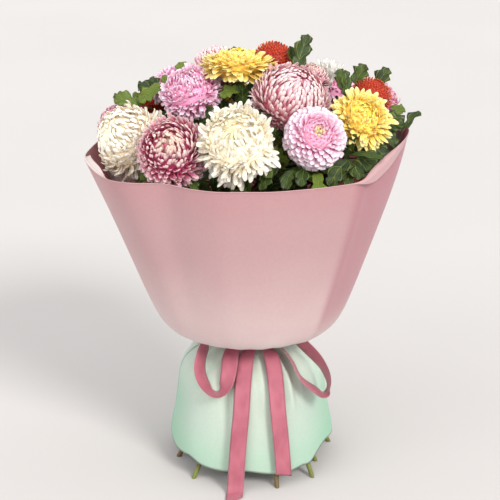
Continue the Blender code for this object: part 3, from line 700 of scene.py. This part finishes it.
def leaf_blades(path, stalk, facing, width, seed, rows, columns):
    """One lobed, toothed leaf on a stalk that takes up its first share of the path.

    path leads from the stem through the start of the blade to the tip, and facing is the side that catches
    light."""
    rng = np.random.default_rng(seed)
    spine = smooth_curve(path, rows)
    v = np.linspace(0, 1, rows)
    u = np.linspace(-1, 1, columns)
    blade = np.clip((v - stalk) / (1 - stalk), 0, 1)
    length = np.linalg.norm(np.diff(spine, axis=0), axis=1).sum()
    envelope = np.sin(math.pi * np.clip(blade, 0.0, 0.999) ** 0.80) ** 0.75
    # Three pairs of round lobes that lean towards the tip.
    lobes = 0.54 + 0.46 * np.sin(math.pi * ((3.0 * blade + 0.20) % 1) ** 1.4) ** 0.85
    teeth = 1 + 0.06 * np.sin(math.tau * 9 * blade)
    half_width = np.maximum(width / 2 * envelope * lobes * teeth, 0.0009)
    half_width[-1] = 0.0004
    half_width = half_width[:, None]
    tangent = unit(np.gradient(spine, axis=0))
    side = unit(np.cross(unit(facing) + rng.normal(0, 0.16, 3), tangent))
    upper = np.cross(tangent, side)
    forward = 0.10 * length * np.abs(u) ** 1.5 * (blade[:, None] * (1 - blade[:, None]) * 3)
    fold = rng.uniform(0.10, 0.40)
    ripple = rng.uniform(0.05, 0.11) * width
    phase = rng.uniform(0, math.tau)
    raised = (half_width * np.abs(u) * math.sin(fold)
              + ripple * np.abs(u) ** 1.5 * np.sin(math.tau * 1.6 * blade[:, None] + phase + 1.2 * u)
              * smoothstep(blade, 0, 0.1)[:, None])
    grid = (spine[:, None] + (half_width * u * math.cos(fold))[..., None] * side[:, None]
            + raised[..., None] * upper[:, None] + forward[..., None] * tangent[:, None])
    normals = grid_normals(grid[None])
    if normals[0, rows // 2, columns // 2] @ upper[rows // 2] < 0:
        normals = -normals
    rib = 0.00022 + 0.0006 * np.exp(-((u / 0.10) ** 2))
    half = np.where(v[:, None] < stalk, 0.0009, rib) * np.ones((rows, columns))
    facts = {"along": blade[None, :, None], "across": u, "seed": rng.random()}
    points, faces, facts = blades(grid[None], normals, half[None], facts)
    return points, wound_with(points, faces, len(faces) // 4, upper[rows // 2]), facts


def add_leaves(name, parts, replaced=()):
    """Joins leaves that were made one by one into one piece."""
    points, faces, facts = zip(*parts)
    starts = np.cumsum([0] + [len(p) for p in points])
    joined = {key: np.concatenate([each[key] for each in facts]) for key in facts[0]}
    faces = np.vstack([f + start for f, start in zip(faces, starts)])
    add_piece(name, np.vstack(points), faces, GREEN, joined, replaced)


def make_solid_leaves():
    """The leaves that are solids in the CAD, each along its own solid and turned a little to the light."""
    for k, node in enumerate(sorted(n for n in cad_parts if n.startswith("leaf_"))):
        points = node_points(node)
        middle = points.mean(axis=0)
        _, directions = np.linalg.eigh(np.cov((points - middle).T))
        along, up = directions[:, 2], directions[:, 0]
        heart = (0, 0, BINDING_HEIGHT + 0.12)
        along = along if (middle - heart) @ along > 0 else -along
        up = up if up[2] > 0 else -up
        reach = (points - middle) @ along
        across = np.abs((points - middle) @ np.cross(up, along))
        # The corners nearest the stem end that are wider than the stalk are the first lobe.
        stalk_width, first_lobe = 0.004, 0.14
        blade = (reach.max() - reach[across > stalk_width].min()) / (1 - first_lobe)
        base = middle + along * reach.min()
        tip = middle + along * reach.max()
        start = tip - along * blade
        bow = (0, 0, 0.003)
        to_light = 1.6 if middle[1] < 0.1 else 0.0
        facing = unit(up + to_light * LEAF_FACING)
        path = [base, start, (start + tip) / 2 + bow, tip]
        stalk = 1 - blade / (reach.max() - reach.min())
        width = 1.75 * across.max()
        leaf = leaf_blades(path, stalk, facing, width, SOLID_LEAF_SEED + k, rows=36, columns=13)
        add_leaves(node + "_blade", [leaf], [node])


# Leaves that show between the blooms, in millimetres: tip, start of the blade and width.
LOOSE_LEAVES = (
    # beside the crown
    (56, 50, 612, 69, 45, 580, 13),
    # behind the top bloom
    (-17, 55, 607, -27, 50, 587, 24), (-54, 50, 598, -37, 40, 584, 15),
    # at the left, behind the pink bloom
    (-160, 35, 557, -134, 30, 549, 24), (-143, 45, 566, -129, 30, 549, 21),
    (-158, 20, 538, -121, 20, 560, 26), (-125, 30, 572, -108, 20, 553, 21),
    # at the right, round the red bloom
    (164, 30, 590, 150, 25, 562, 29), (220, 30, 527, 196, 20, 512, 22), (243, 20, 522, 213, 10, 502, 15),
    # under the top bloom
    (-10, -30, 578, -11, -20, 545, 23), (-42, -30, 558, -13, -20, 567, 22),
    (12, -10, 570, -6, -10, 556, 16),
    # in the gaps at the front
    (17, -100, 536, 43, -90, 508, 20), (67, -152, 467, 77, -120, 493, 26),
    (106, -142, 463, 130, -100, 491, 32), (14, -152, 461, 36, -130, 493, 25),
    (47, -152, 463, 55, -128, 484, 23), (30, -120, 511, 47, -108, 483, 20),
    (130, -130, 461, 140, -98, 479, 23),
    # over the fold of the collar
    (180, -112, 494, 138, -92, 494, 16), (146, -90, 522, 132, -78, 492, 13),
    # against the right wall
    (216, 5, 502, 192, 0, 526, 30), (205, -30, 487, 179, -30, 508, 34), (190, -65, 480, 163, -60, 497, 34),
    (172, -98, 473, 145, -85, 487, 31), (151, -122, 468, 136, -100, 483, 31),
    (207, -5, 523, 190, -10, 508, 30), (168, -75, 478, 140, -60, 500, 30), (53, 52, 606, 68, 46, 580, 14),
    (122, 0, 590, 132, 0, 561, 24), (-194, 35, 541, -158, 25, 528, 32), (95, -165, 452, 88, -125, 478, 24),
    (-150, -110, 462, -118, -95, 478, 26), (-120, -140, 455, -100, -110, 475, 24),
    # between the blooms at the left
    (-50, -90, 560, -61, -78, 540, 19), (-72, -165, 464, -81, -138, 480, 17),
    (-172, 100, 529, -156, 100, 512, 17),
)


def stem_points():
    """Points along every stem above the binding."""
    lowest, spacing = 0.36, 0.006
    return np.array([stem_section(name, height)[0] for name in BLOOMS
                     for height in np.arange(lowest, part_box("stem_" + name)[1][2] - spacing, spacing)])


def make_loose_leaves():
    """The leaves of LOOSE_LEAVES, each with its stalk on the nearest stem below it."""
    places = stem_points()
    least_drop, out_of_reach, inside_stem, bow = 0.012, 10, 0.003, (0, 0, 0.003)
    parts = []
    for k, leaf in enumerate(np.array(LOOSE_LEAVES) / 1000):
        tip, start, width = leaf[:3], leaf[3:6], leaf[6]
        too_high = places[:, 2] > start[2] - least_drop
        apart = np.linalg.norm(places - start, axis=1) + out_of_reach * too_high
        nearest = places[np.argmin(apart)]
        base = nearest + inside_stem * unit(start - nearest)
        path = [base, start, (start + tip) / 2 + bow, tip]
        blade = np.linalg.norm(tip - start)
        stalk = 1 - blade / (blade + np.linalg.norm(start - base))
        seed = LOOSE_LEAF_SEED + k
        parts.append(leaf_blades(path, stalk, LEAF_FACING, width, seed, rows=30, columns=11))
    add_leaves("loose_leaves", parts)


def wall_radius(height):
    """How far from the axis a leaf may reach inside the collar, at some height."""
    clearance = 0.007
    radii, heights = zip(*COLLAR_WALL)
    return np.interp(height, heights, radii) - clearance


def inside_bloom(points, centre, axis, radius, half):
    """Whether any of the points lies among a bloom's petals, which reach a little past its solid."""
    wider, higher = 1.02, 1.25
    height, aside = seen_along(points, centre, axis)
    return bool(((aside / (radius * wider)) ** 2 + (height / (half * higher)) ** 2 < 1).any())


def make_stem_leaves():
    """Foliage on every stem between the binding and the blooms, clear of the blooms and inside the collar."""
    places = [bloom_place(name) for name in BLOOMS]
    lowest, spacing, below_bloom = 0.350, 0.017, 0.016
    parts = []
    serial = 0
    for order, name in enumerate(sorted(BLOOMS)):
        rng = np.random.default_rng(STEM_SEED + order)
        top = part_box("stem_" + name)[1][2] - below_bloom
        for k, height in enumerate(np.arange(lowest + 0.01 * rng.random(), top, spacing)):
            place, run = stem_section(name, height)
            serial += 1
            length = rng.uniform(0.050, 0.080)
            lift = rng.uniform(0.3, 0.9)
            width = length * rng.uniform(0.42, 0.56)
            for attempt in range(4):
                azimuth = GOLDEN_ANGLE * k + 1.7 * order + 1.5 * attempt
                away = np.array([math.cos(azimuth), math.sin(azimuth), 0])
                away = unit(away - run * np.dot(away, run))
                along = unit(away + run * lift)
                up = unit(run - along * np.dot(run, along))
                tip = place + along * length * 0.95 - up * length * 0.12
                checks = place + np.linspace(0.3, 1, 5)[:, None] * (tip - place)
                outside = math.hypot(tip[0], tip[1]) > wall_radius(tip[2]) or tip[2] > HIGHEST_LEAF
                if outside or any(inside_bloom(checks, *bloom) for bloom in places):
                    continue
                start = place + 0.0036 * away
                path = [start, start + 0.30 * length * along, start + 0.65 * length * along, tip]
                parts.append(leaf_blades(path, 0.18, up, width, STEM_LEAF_SEED + serial, rows=15, columns=7))
                break
    add_leaves("stem_leaves", parts)


# ================================================================ the pink collar
# Both papers follow the profiles of their solids, as (radius, height).
COLLAR_FLOOR = [(0.0301, 0.205), (0.0301, 0.2225), (0.0340, 0.2275), (0.0480, 0.2285), (0.0700, 0.2240),
                (0.0920, 0.2165), (0.1070, 0.2135)]
COLLAR_WALL = [(0.1190, 0.2165), (0.1305, 0.2285), (0.1405, 0.2480), (0.1530, 0.2800), (0.1735, 0.3370),
               (0.1955, 0.3990), (0.2090, 0.4400), (0.2175, 0.4720)]
COLLAR_OVAL = 0.035
RIM_RISE, FRONT_RISE = 0.026, 0.006
PAPER, SATIN_HALF = 0.00018, 0.00014  # half the thickness of the paper and of the ribbon
# Where the collar bulges out or is drawn in at its rim: degrees, depth, spread, how fast it fades downwards.
COLLAR_SWELLS = (
    (-172, 0.010, 14, 4.0), (-148, 0.012, 14, 3.0), (-27, -0.020, 20, 3.0),
    (-101, 0.0050, 8, 1.0), (-124, -0.0125, 9, 2.0), (-139, 0.0060, 10, 1.2), (-47, 0.0075, 6, 0.7),
    (-66, -0.0040, 12, 1.0), (-84, 0.0020, 8, 1.5), (10, 0.0035, 14, 1.3), (60, 0.0030, 15, 1.3),
    (95, -0.0035, 14, 1.3), (130, 0.0030, 15, 1.3), (178, -0.0030, 12, 1.3))


def bump_at(degrees, where, spread):
    """A smooth bump of height 1 round the direction where."""
    away = (degrees - where + 180) % 360 - 180
    return np.exp(-((away / spread) ** 2))


def window(degrees, start, opened, closing, end):
    """0 up to start, 1 from opened to closing, and 0 from end on."""
    return smoothstep(degrees, start, opened) * (1 - smoothstep(degrees, closing, end))


def collar_grid(arc, inset, columns, rows):
    """Grid in the middle of a collar sheet, its angles in degrees, and how far up the wall each row is."""
    steps = np.append(np.zeros(len(COLLAR_FLOOR)), (np.arange(len(COLLAR_WALL)) + 1) / len(COLLAR_WALL))
    # The share travels along as a third coordinate, too small to count as a distance.
    tiny = 0.001
    profile = smooth_curve(np.column_stack([COLLAR_FLOOR + COLLAR_WALL, steps * tiny]), rows)
    out, height, share = profile[:, :1], profile[:, 1:2], np.clip(profile[:, 2:] / tiny, 0, 1)
    degrees = np.linspace(*arc, columns)
    angle = np.radians(degrees)
    radius = (out - inset) * (1 + COLLAR_OVAL * share * np.cos(2 * angle))
    for where, depth, spread, fade in COLLAR_SWELLS:
        radius = radius + depth * bump_at(degrees, where, spread) * share**fade
    gathers = 0.0016 * np.sin(23 * angle) * smoothstep(out, 0.034, 0.06)
    gathers = gathers * (1 - smoothstep(out, 0.085, 0.13))
    rise = RIM_RISE * np.maximum(0, np.cos(angle)) ** 6 + FRONT_RISE * np.maximum(0, -np.sin(angle)) ** 2
    height = height + rise * share**3 + gathers + 0.0012 * np.sin(3 * angle + 0.6) * share**6
    return around_axis(radius, angle, height), degrees, share[:, 0]


def hem_rows(grid, degrees):
    """The sheet past its rim: rolled outwards and down at the right, folded inwards at the left."""
    outwards = window(degrees, -52, -38, -30, -6)[:, None]
    folded = window(degrees, -52, -34, -10, 0)[:, None]
    inwards = window(degrees, -177, -170, -158, -138)[:, None]
    rim = grid[-1]
    up = unit(rim - grid[-4])
    radial = unit(rim * (1, 1, 0))
    away = unit(radial - up * (radial * up).sum(axis=1, keepdims=True))
    bow = 0.0004 + 0.0048 * outwards - 0.0020 * inwards
    flap = 0.0006 + 0.0100 * folded + 0.0065 * inwards
    falling = unit(-up * (1 - inwards) + (-0.90 * away + 0.30 * up) * inwards)
    rows = [rim + away * bow * (1 - math.cos(turn)) + up * np.abs(bow) * math.sin(turn)
            for turn in np.linspace(0, math.pi, 9)[1:]]
    rows += [rows[-1] + falling * flap * part + away * 0.0012 * part * outwards
             for part in np.linspace(0, 1, 7)[1:]]
    return np.array(rows), inwards[:, 0]


def sheet_piece(name, grid, material, node, facts, half=PAPER, outwards=True):
    """A thin sheet through a grid. Its face looks away from the bouquet's axis if outwards is set."""
    normals = grid_normals(grid[None])
    centre = (len(grid) // 2, grid.shape[1] // 2)
    if outwards and normals[0][centre] @ (grid[centre] * (1, 1, 0)) < 0:
        normals = -normals
    points, faces, facts = blades(grid[None], normals, np.full((1, *grid.shape[:2]), half), facts)
    faces = wound_with(points, faces, grid.shape[1], normals[0, 1, 1])
    return add_piece(name, points, faces, material, facts, [node])


def make_collar():
    front, degrees, share = collar_grid((-207, 27), 0, 180, 84)
    hem, inwards = hem_rows(front, degrees)
    # Painted shade and light: the sheet is deeper in colour where it lies over the back sheet and, as painted
    # shade, on the right facet where it turns away from the front; low on the front a narrow strip is painted
    # paler, as light coming through the paper.
    doubled_and_shaded = window(degrees, -51, -45, 20, 27) * 0.75 + 0.5 * (1 - smoothstep(degrees, -190, -176))
    layer = doubled_and_shaded * smoothstep(share, 0.10, 0.55)[:, None]
    low_down = (1 - smoothstep(share, 0.05, 0.4)) * smoothstep(share, 0.0, 0.06)
    pale_and_painted_light = 0.8 * bump_at(degrees, -76, 7) * low_down[:, None]
    # The turned hem shows the milky back of the sheet.
    whole = np.vstack([front, hem])
    turned = np.ones((len(hem), 1))
    facts = {"along": np.append(share, turned)[None, :, None],
             "layer": np.vstack([layer, 0.2 * doubled_and_shaded * turned])[None],
             "pale": np.vstack([pale_and_painted_light, (0.15 + 0.75 * inwards) * turned])[None]}
    piece = sheet_piece("wrap_front", whole, PINK, "wrap_front_sheet", facts)
    back, degrees, share = collar_grid((9, 171), 0.0017, 110, 70)
    facts = {"along": share[None, :, None], "layer": 0.0, "pale": 0.0}
    piece = sheet_piece("wrap_back", back, PINK, "wrap_back_sheet", facts)


# ================================================================ the mint skirt
SKIRT_PROFILE = [(0.0400, 0.2580), (0.0330, 0.2450), (0.0273, 0.2350), (0.0273, 0.2030), (0.0300, 0.1980),
                 (0.0420, 0.1920), (0.0620, 0.1830), (0.0840, 0.1700), (0.0985, 0.1560), (0.1065, 0.1380),
                 (0.1105, 0.1100), (0.1150, 0.0750), (0.1205, 0.0400), (0.1225, 0.0200)]
# The height of the hem round the skirt, in degrees and metres, and the height up to which it pulls the sheet.
SKIRT_HEM = (
    (-160, 0.031), (-144, 0.033), (-135, 0.036), (-125, 0.026), (-110, 0.0225), (-93, 0.0255), (-75, 0.0200),
    (-60, 0.0210), (-51, 0.0255), (-46, 0.0200), (-34, 0.036), (-24, 0.041), (-7, 0.036), (20, 0.030),
    (60, 0.024), (100, 0.026), (140, 0.024), (165, 0.030), (180, 0.034))
HEM_PULL = 0.10
# Pleats from the binding down: degrees at the top and at the hem, depth, spread, where they end (1: the hem).
PLEATS = (
    (-109, -101, -0.0050, 1.8, 0.75), (-60, -60, -0.0035, 1.6, 0.60), (-47, -49, -0.0030, 1.5, 0.45),
    (-112, -102, -0.0075, 3.6, 0.80), (-104, -97, 0.0050, 4.5, 0.95), (-66, -62, -0.0070, 3.6, 0.60),
    (-59, -56, 0.0040, 4.0, 0.75), (-52, -52, -0.0045, 3.5, 0.50), (-84, -84, -0.0040, 3.5, 0.85),
    (-133, -140, -0.0090, 4.5, 0.30), (-20, -20, -0.0045, 4.0, 0.5), (35, 35, -0.0050, 4.0, 0.6),
    (80, 80, -0.0065, 4.0, 0.7), (118, 118, -0.0050, 4.0, 0.5), (160, 160, -0.0050, 4.0, 0.6))


def make_skirt():
    profile = smooth_curve(SKIRT_PROFILE, 72)
    steps_round = 220
    angle = np.linspace(-math.pi, math.pi, steps_round + 1)
    degrees = np.degrees(angle)
    radius, height = profile[:, :1], profile[:, 1:]
    down = smoothstep(-height, -0.200, -0.020)
    neck = smoothstep(radius, 0.030, 0.050)
    shoulder = neck * (1 - smoothstep(radius, 0.070, 0.118))
    gathers = 0.0024 * shoulder * (np.sin(17 * angle + 0.8 * np.sin(3 * angle)) + 0.5 * np.sin(29 * angle))
    broad = 0.0022 * neck * np.sin(5 * angle + 0.5) * (0.4 + 0.6 * down)
    radius = radius + gathers + broad - 0.003 * bump_at(degrees, 180, 35) * neck
    for top, bottom, depth, spread, end in PLEATS:
        where = top + (bottom - top) * down
        fading = 1 - smoothstep(down, 0.4 * end, end)
        radius = radius + depth * neck * bump_at(degrees, where, spread) * fading
    hem = np.interp(degrees, *np.transpose(SKIRT_HEM), period=360)
    # The hem is smoothed over its neighbours all the way round.
    hem = np.convolve(np.tile(hem[:-1], 3), np.ones(5) / 5, mode="same")[steps_round:2 * steps_round + 1]
    lowest = profile[-1, 1]
    pulled = hem + (height - lowest) * (HEM_PULL - hem) / (HEM_PULL - lowest)
    height = np.where(height < HEM_PULL, pulled, height)
    grid = around_axis(radius, angle, height)
    # Painted light and shade: the front of the sheet is painted paler, as lit, its sides deeper, as painted
    # shade, and it grows a little deeper towards the hem.
    to_side = np.abs((degrees + 90 + 180) % 360 - 180)
    pale_and_painted_light = 0.85 * np.exp(-((to_side / 38) ** 2)) * (1 - 0.75 * down**2)
    painted_shade = 0.8 * smoothstep(to_side, 40, 85) * smoothstep(down, 0.1, 0.6) + 0.25 * smoothstep(down, 0.85, 1.0)
    facts = {"along": down[None], "layer": painted_shade[None], "pale": pale_and_painted_light[None]}
    piece = sheet_piece("skirt_sheet", grid, MINT, "mint_skirt", facts)


# ================================================================ ribbon and twine
RIBBON_WIDTH = 0.024
# Each ribbon piece: points along its middle in tenths of a millimetre, and in hundredths the direction of its
# width at each and how much of the full width it has there. It is pinched where it leaves the knot.
RIBBON = {
    "ribbon_loop_left": [
        (-5, -378, 2160, 0, 30, 95, 40), (-230, -400, 2170, 25, 60, 75, 80),
        (-450, -500, 2120, 45, 70, 50, 95), (-618, -660, 2015, 58, 75, 20, 100),
        (-705, -800, 1820, 60, 75, 0, 100), (-705, -890, 1655, 60, 75, -5, 100),
        (-640, -965, 1510, 50, 84, 0, 100), (-565, -1020, 1430, 20, 97, 0, 100),
        (-471, -1065, 1419, -10, 98, 0, 100), (-385, -1075, 1478, -50, 85, 0, 100),
        (-328, -1045, 1597, -80, 58, 10, 100), (-300, -960, 1730, -90, 42, 10, 100),
        (-272, -780, 1890, -93, 33, 0, 100), (-200, -560, 2000, -85, 30, -10, 70),
        (-5, -400, 2080, -30, 60, 50, 25)],
    "ribbon_loop_right": [
        (245, -378, 2160, 0, -30, 95, 40), (430, -385, 2140, 25, -45, 80, 80),
        (600, -430, 2060, 50, -58, 60, 95), (739, -480, 1962, 65, -62, 42, 100),
        (939, -600, 1809, 69, -66, 28, 100), (1055, -665, 1680, 60, -78, 15, 100),
        (1125, -695, 1530, 45, -89, 5, 100), (1148, -720, 1385, 15, -98, 5, 100),
        (1105, -770, 1300, -5, -99, 0, 100), (1020, -820, 1312, -15, -98, 0, 100),
        (930, -865, 1380, -16, -97, 3, 100), (784, -900, 1509, -14, -96, 10, 100),
        (692, -870, 1614, -12, -95, 14, 100), (600, -740, 1775, -10, -94, 17, 100),
        (500, -580, 1890, -8, -90, 26, 85), (380, -460, 1990, -4, -75, 50, 60),
        (245, -400, 2075, 0, -60, 60, 25)],
    "ribbon_tail_left": [
        (68, -378, 2020, 100, 0, 0, 42), (50, -500, 1965, 100, 0, 0, 50), (-40, -720, 1885, 100, 0, 0, 90),
        (-80, -930, 1745, 100, 0, 0, 100), (-105, -1110, 1520, 100, 2, 2, 100),
        (-125, -1185, 1180, 100, 2, 4, 100), (-160, -1235, 800, 100, 2, 5, 100),
        (-190, -1285, 400, 100, 2, 4, 100), (-205, -1330, 130, 100, 0, 2, 100),
        (-215, -1410, 28, 100, 0, 0, 100), (-222, -1500, 12, 100, 0, 0, 100),
        (-232, -1660, 9, 100, 0, 0, 100)],
    "ribbon_tail_right": [
        (172, -378, 2020, 100, 0, 0, 42), (215, -500, 1960, 100, 0, 0, 55),
        (300, -720, 1880, 100, 10, 0, 90), (345, -910, 1740, 100, 20, 0, 100),
        (375, -1060, 1520, 97, 28, 0, 100), (400, -1145, 1180, 96, 30, 0, 100),
        (437, -1190, 800, 96, 32, 0, 100), (472, -1235, 400, 96, 32, 0, 100),
        (482, -1250, 220, 96, 32, 0, 100)],
}
RIBBON_UNITS = (10000, 10000, 10000, 100, 100, 100, 100)
END_SLANT = {"ribbon_tail_left": -0.014, "ribbon_tail_right": 0.003}


def make_ribbon(name, stations):
    stations = np.array(stations) / RIBBON_UNITS
    places, sides = stations[:, :3], unit(stations[:, 3:6]) * stations[:, 6:]
    row_length, sides_weight = 0.0022, 0.02
    count = max(30, round(way_along(places)[-1] / row_length))
    both = smooth_curve(np.hstack([places, sides * sides_weight]), count)
    middle, side = both[:, :3], both[:, 3:] / sides_weight
    share = np.linalg.norm(side, axis=1, keepdims=True)
    side = side / share
    tangent = unit(np.gradient(middle, axis=0))
    side = unit(side - tangent * (side * tangent).sum(axis=1, keepdims=True))
    normal = np.cross(tangent, side)
    across = np.linspace(-1, 1, 9)
    travelled = way_along(middle)
    curl_depth, curl_length, slant_length = 0.0015, 0.05, 0.03
    curl = curl_depth * (across**2)[None] * np.sin(travelled / curl_length + len(name))[:, None]
    grid = (middle[:, None] + (across[None] * share * RIBBON_WIDTH / 2)[..., None] * side[:, None]
            + curl[..., None] * normal[:, None])
    # The cut end of a tail runs at a slant.
    near_end = np.clip(1 - (travelled[-1] - travelled) / slant_length, 0, 1)
    grid = grid + (near_end[:, None] * END_SLANT.get(name, 0.0) * across[None])[..., None] * tangent[:, None]
    facts = {"metres": travelled[None, :, None], "across": across}
    piece = sheet_piece(name + "_satin", grid, SATIN, name, facts, SATIN_HALF, outwards=False)


def make_band():
    """Ribbon wound round the binding, drawn into shallow lengthwise creases."""
    low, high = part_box("ribbon_band")
    below_surface, crease_depth = 0.0005, 0.00045
    radius, half = (high[0] - low[0]) / 2 - below_surface, (high[2] - low[2]) / 2
    angle = np.linspace(0, math.tau, 97)
    across = np.linspace(-1, 1, 11)[:, None]
    creased = radius + crease_depth * np.sin(across * 7 + 1.5 * np.sin(3 * angle)[None])
    grid = around_axis(creased, angle, BINDING_HEIGHT + half * across)
    facts = {"metres": (angle * radius)[None, None], "across": across}
    sheet_piece("ribbon_band_satin", grid, SATIN, "ribbon_band", facts)


def make_knot():
    """The ribbon pulled tight over itself: a plump pad with creases that run to its two sides."""
    low, high = (np.array(corner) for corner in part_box("ribbon_knot"))
    centre, half = (low + high) / 2, (high - low) / 2
    polar = np.linspace(0, math.pi, 29)[1:-1, None]
    turn = np.linspace(0, math.tau, 48, endpoint=False)[None]

    def soft(value, power):
        return np.sign(value) * np.abs(value) ** power

    # The pad's poles are its left and right sides, and the creases fan out from them.
    crease = 1 - 0.07 * np.abs(np.sin(5 * turn)) * np.sin(polar)
    y = soft(np.sin(polar), 0.6) * soft(np.cos(turn), 0.7) * crease
    z = soft(np.sin(polar), 0.6) * soft(np.sin(turn), 0.7) * crease * (0.90 + 0.10 * np.cos(polar) ** 2)
    rings = centre + stacked(soft(np.cos(polar), 0.7), y, z) * half
    points, faces = shell(rings, [centre + [half[0], 0, 0], centre - [half[0], 0, 0]], turned=True)
    facts = {"metres": points[:, 0], "across": (points[:, 2] - centre[2]) / half[2] * 0.85}
    add_piece("ribbon_knot_satin", points, faces, SATIN, facts, ["ribbon_knot"])


def make_twine():
    """Four turns of two-ply twine that lie on each other round the stems."""
    low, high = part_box("binding_twine")
    strand, turns, sides = 0.0014, 4, 8
    radius = (high[0] - low[0]) / 2 - strand
    angle = np.linspace(0, math.tau * turns, 60 * turns)
    height = np.linspace(low[2] + strand, high[2] - strand, len(angle))
    path = around_axis(radius, angle, height)
    tangent = unit(np.gradient(path, axis=0))
    turn = np.linspace(0, math.tau, sides, endpoint=False)[:, None]
    side = np.cross(tangent[0], (0, 0, 1))
    rings = []
    for place, run in zip(path, tangent):
        side = unit(side - run * np.dot(side, run))
        rings.append(place + strand * (np.cos(turn) * side + np.sin(turn) * np.cross(run, side)))
    points, faces = shell(np.array(rings), path[[0, -1]])
    way = way_along(path)
    facts = {"metres": np.append(np.repeat(way, sides), way[[0, -1]]),
             "across": np.append(np.tile(np.arange(sides) / sides, len(path)), [0, 0])}
    add_piece("twine_turns", points, faces, TWINE, facts, ["binding_twine"])


# ================================================================ stage, light and camera
def make_stage():
    """A wide, pale and matt floor, which fills the view down to the horizon."""
    reach = 40.0
    mesh = bpy.data.meshes.new("floor")
    corner_signs = ((-1, -1), (1, -1), (1, 1), (-1, 1))
    mesh.from_pydata([(reach * x, reach * y, 0) for x, y in corner_signs], [], [(0, 1, 2, 3)])
    paint = Paint("floor", Roughness=0.9, Specular_IOR_Level=0.1)
    cloud = paint.noise(paint.place(), 1.2)
    mesh.materials.append(paint.finished(paint.mix(paint.smooth(cloud, 0.3, 0.7), "bebbb9", "c1bebc")))
    obj = new_object("floor", mesh)


def point_at(obj, aim):
    direction = Vector(aim) - obj.location
    obj.rotation_euler = direction.to_track_quat("-Z", "Y").to_euler()


def add_sun(name, place, strength, spread, colour):
    """A soft, distant light that shines from place to the bouquet, spread in degrees."""
    data = bpy.data.lights.new(name, "SUN")
    data.energy = strength
    data.angle = math.radians(spread)
    data.color = colour
    obj = new_object(name, data)
    obj.location = place
    point_at(obj, (0, 0, 0.3))


def make_camera():
    """Level with the photographer's eye: 20 degrees down, from 2.5 metres, with a long lens."""
    elevation, distance, aim_height = math.radians(20), 2.5, 0.322
    data = bpy.data.cameras.new("camera")
    data.sensor_width = 36
    data.lens = 124.2
    obj = new_object("camera", data)
    obj.location = (0, -distance * math.cos(elevation), aim_height + distance * math.sin(elevation))
    point_at(obj, (0, 0, aim_height))
    bpy.context.scene.camera = obj


def make_light():
    """A white studio, a large soft light at the front right and a weaker, wider one at the front left."""
    world = bpy.data.worlds.new("studio air")
    world.use_nodes = True
    air = world.node_tree.nodes["Background"].inputs
    air["Color"].default_value = (0.985, 0.99, 1.0, 1.0)
    air["Strength"].default_value = 1.14
    bpy.context.scene.world = world
    add_sun("key", (1.35, -2.0, 2.05), 2.45, 18, (1.0, 0.975, 0.94))
    add_sun("fill", (-1.5, -2.1, 1.15), 1.20, 70, (1.0, 0.99, 0.98))
    bpy.context.scene.view_settings.view_transform = "Standard"


# ================================================================ the scene
GREEN = leaf_material()
PINK = paper_material(
    "pink paper", ((0.0, "d0bdbc"), (0.35, "c3a8a7"), (0.75, "b38d8f"), (1.0, "ae8386")),
    "a36a74", "d0c0bc")
MINT = paper_material(
    "mint paper", ((0.0, "b1bcaf"), (0.6, "a7b6aa"), (1.0, "9cb4a3")),
    "87b196", "bdc4b5")
SATIN = satin_material()
TWINE = twine_material()

for serial, bloom in enumerate(BLOOMS):
    make_bloom(serial, bloom)
STEM = stem_material()
for bloom in BLOOMS:
    dress_stem(bloom, STEM)
make_solid_leaves()
make_loose_leaves()
make_stem_leaves()
make_knot()
make_band()
make_twine()
make_collar()
make_skirt()
for ribbon, stations in RIBBON.items():
    make_ribbon(ribbon, stations)
make_stage()
make_light()
make_camera()
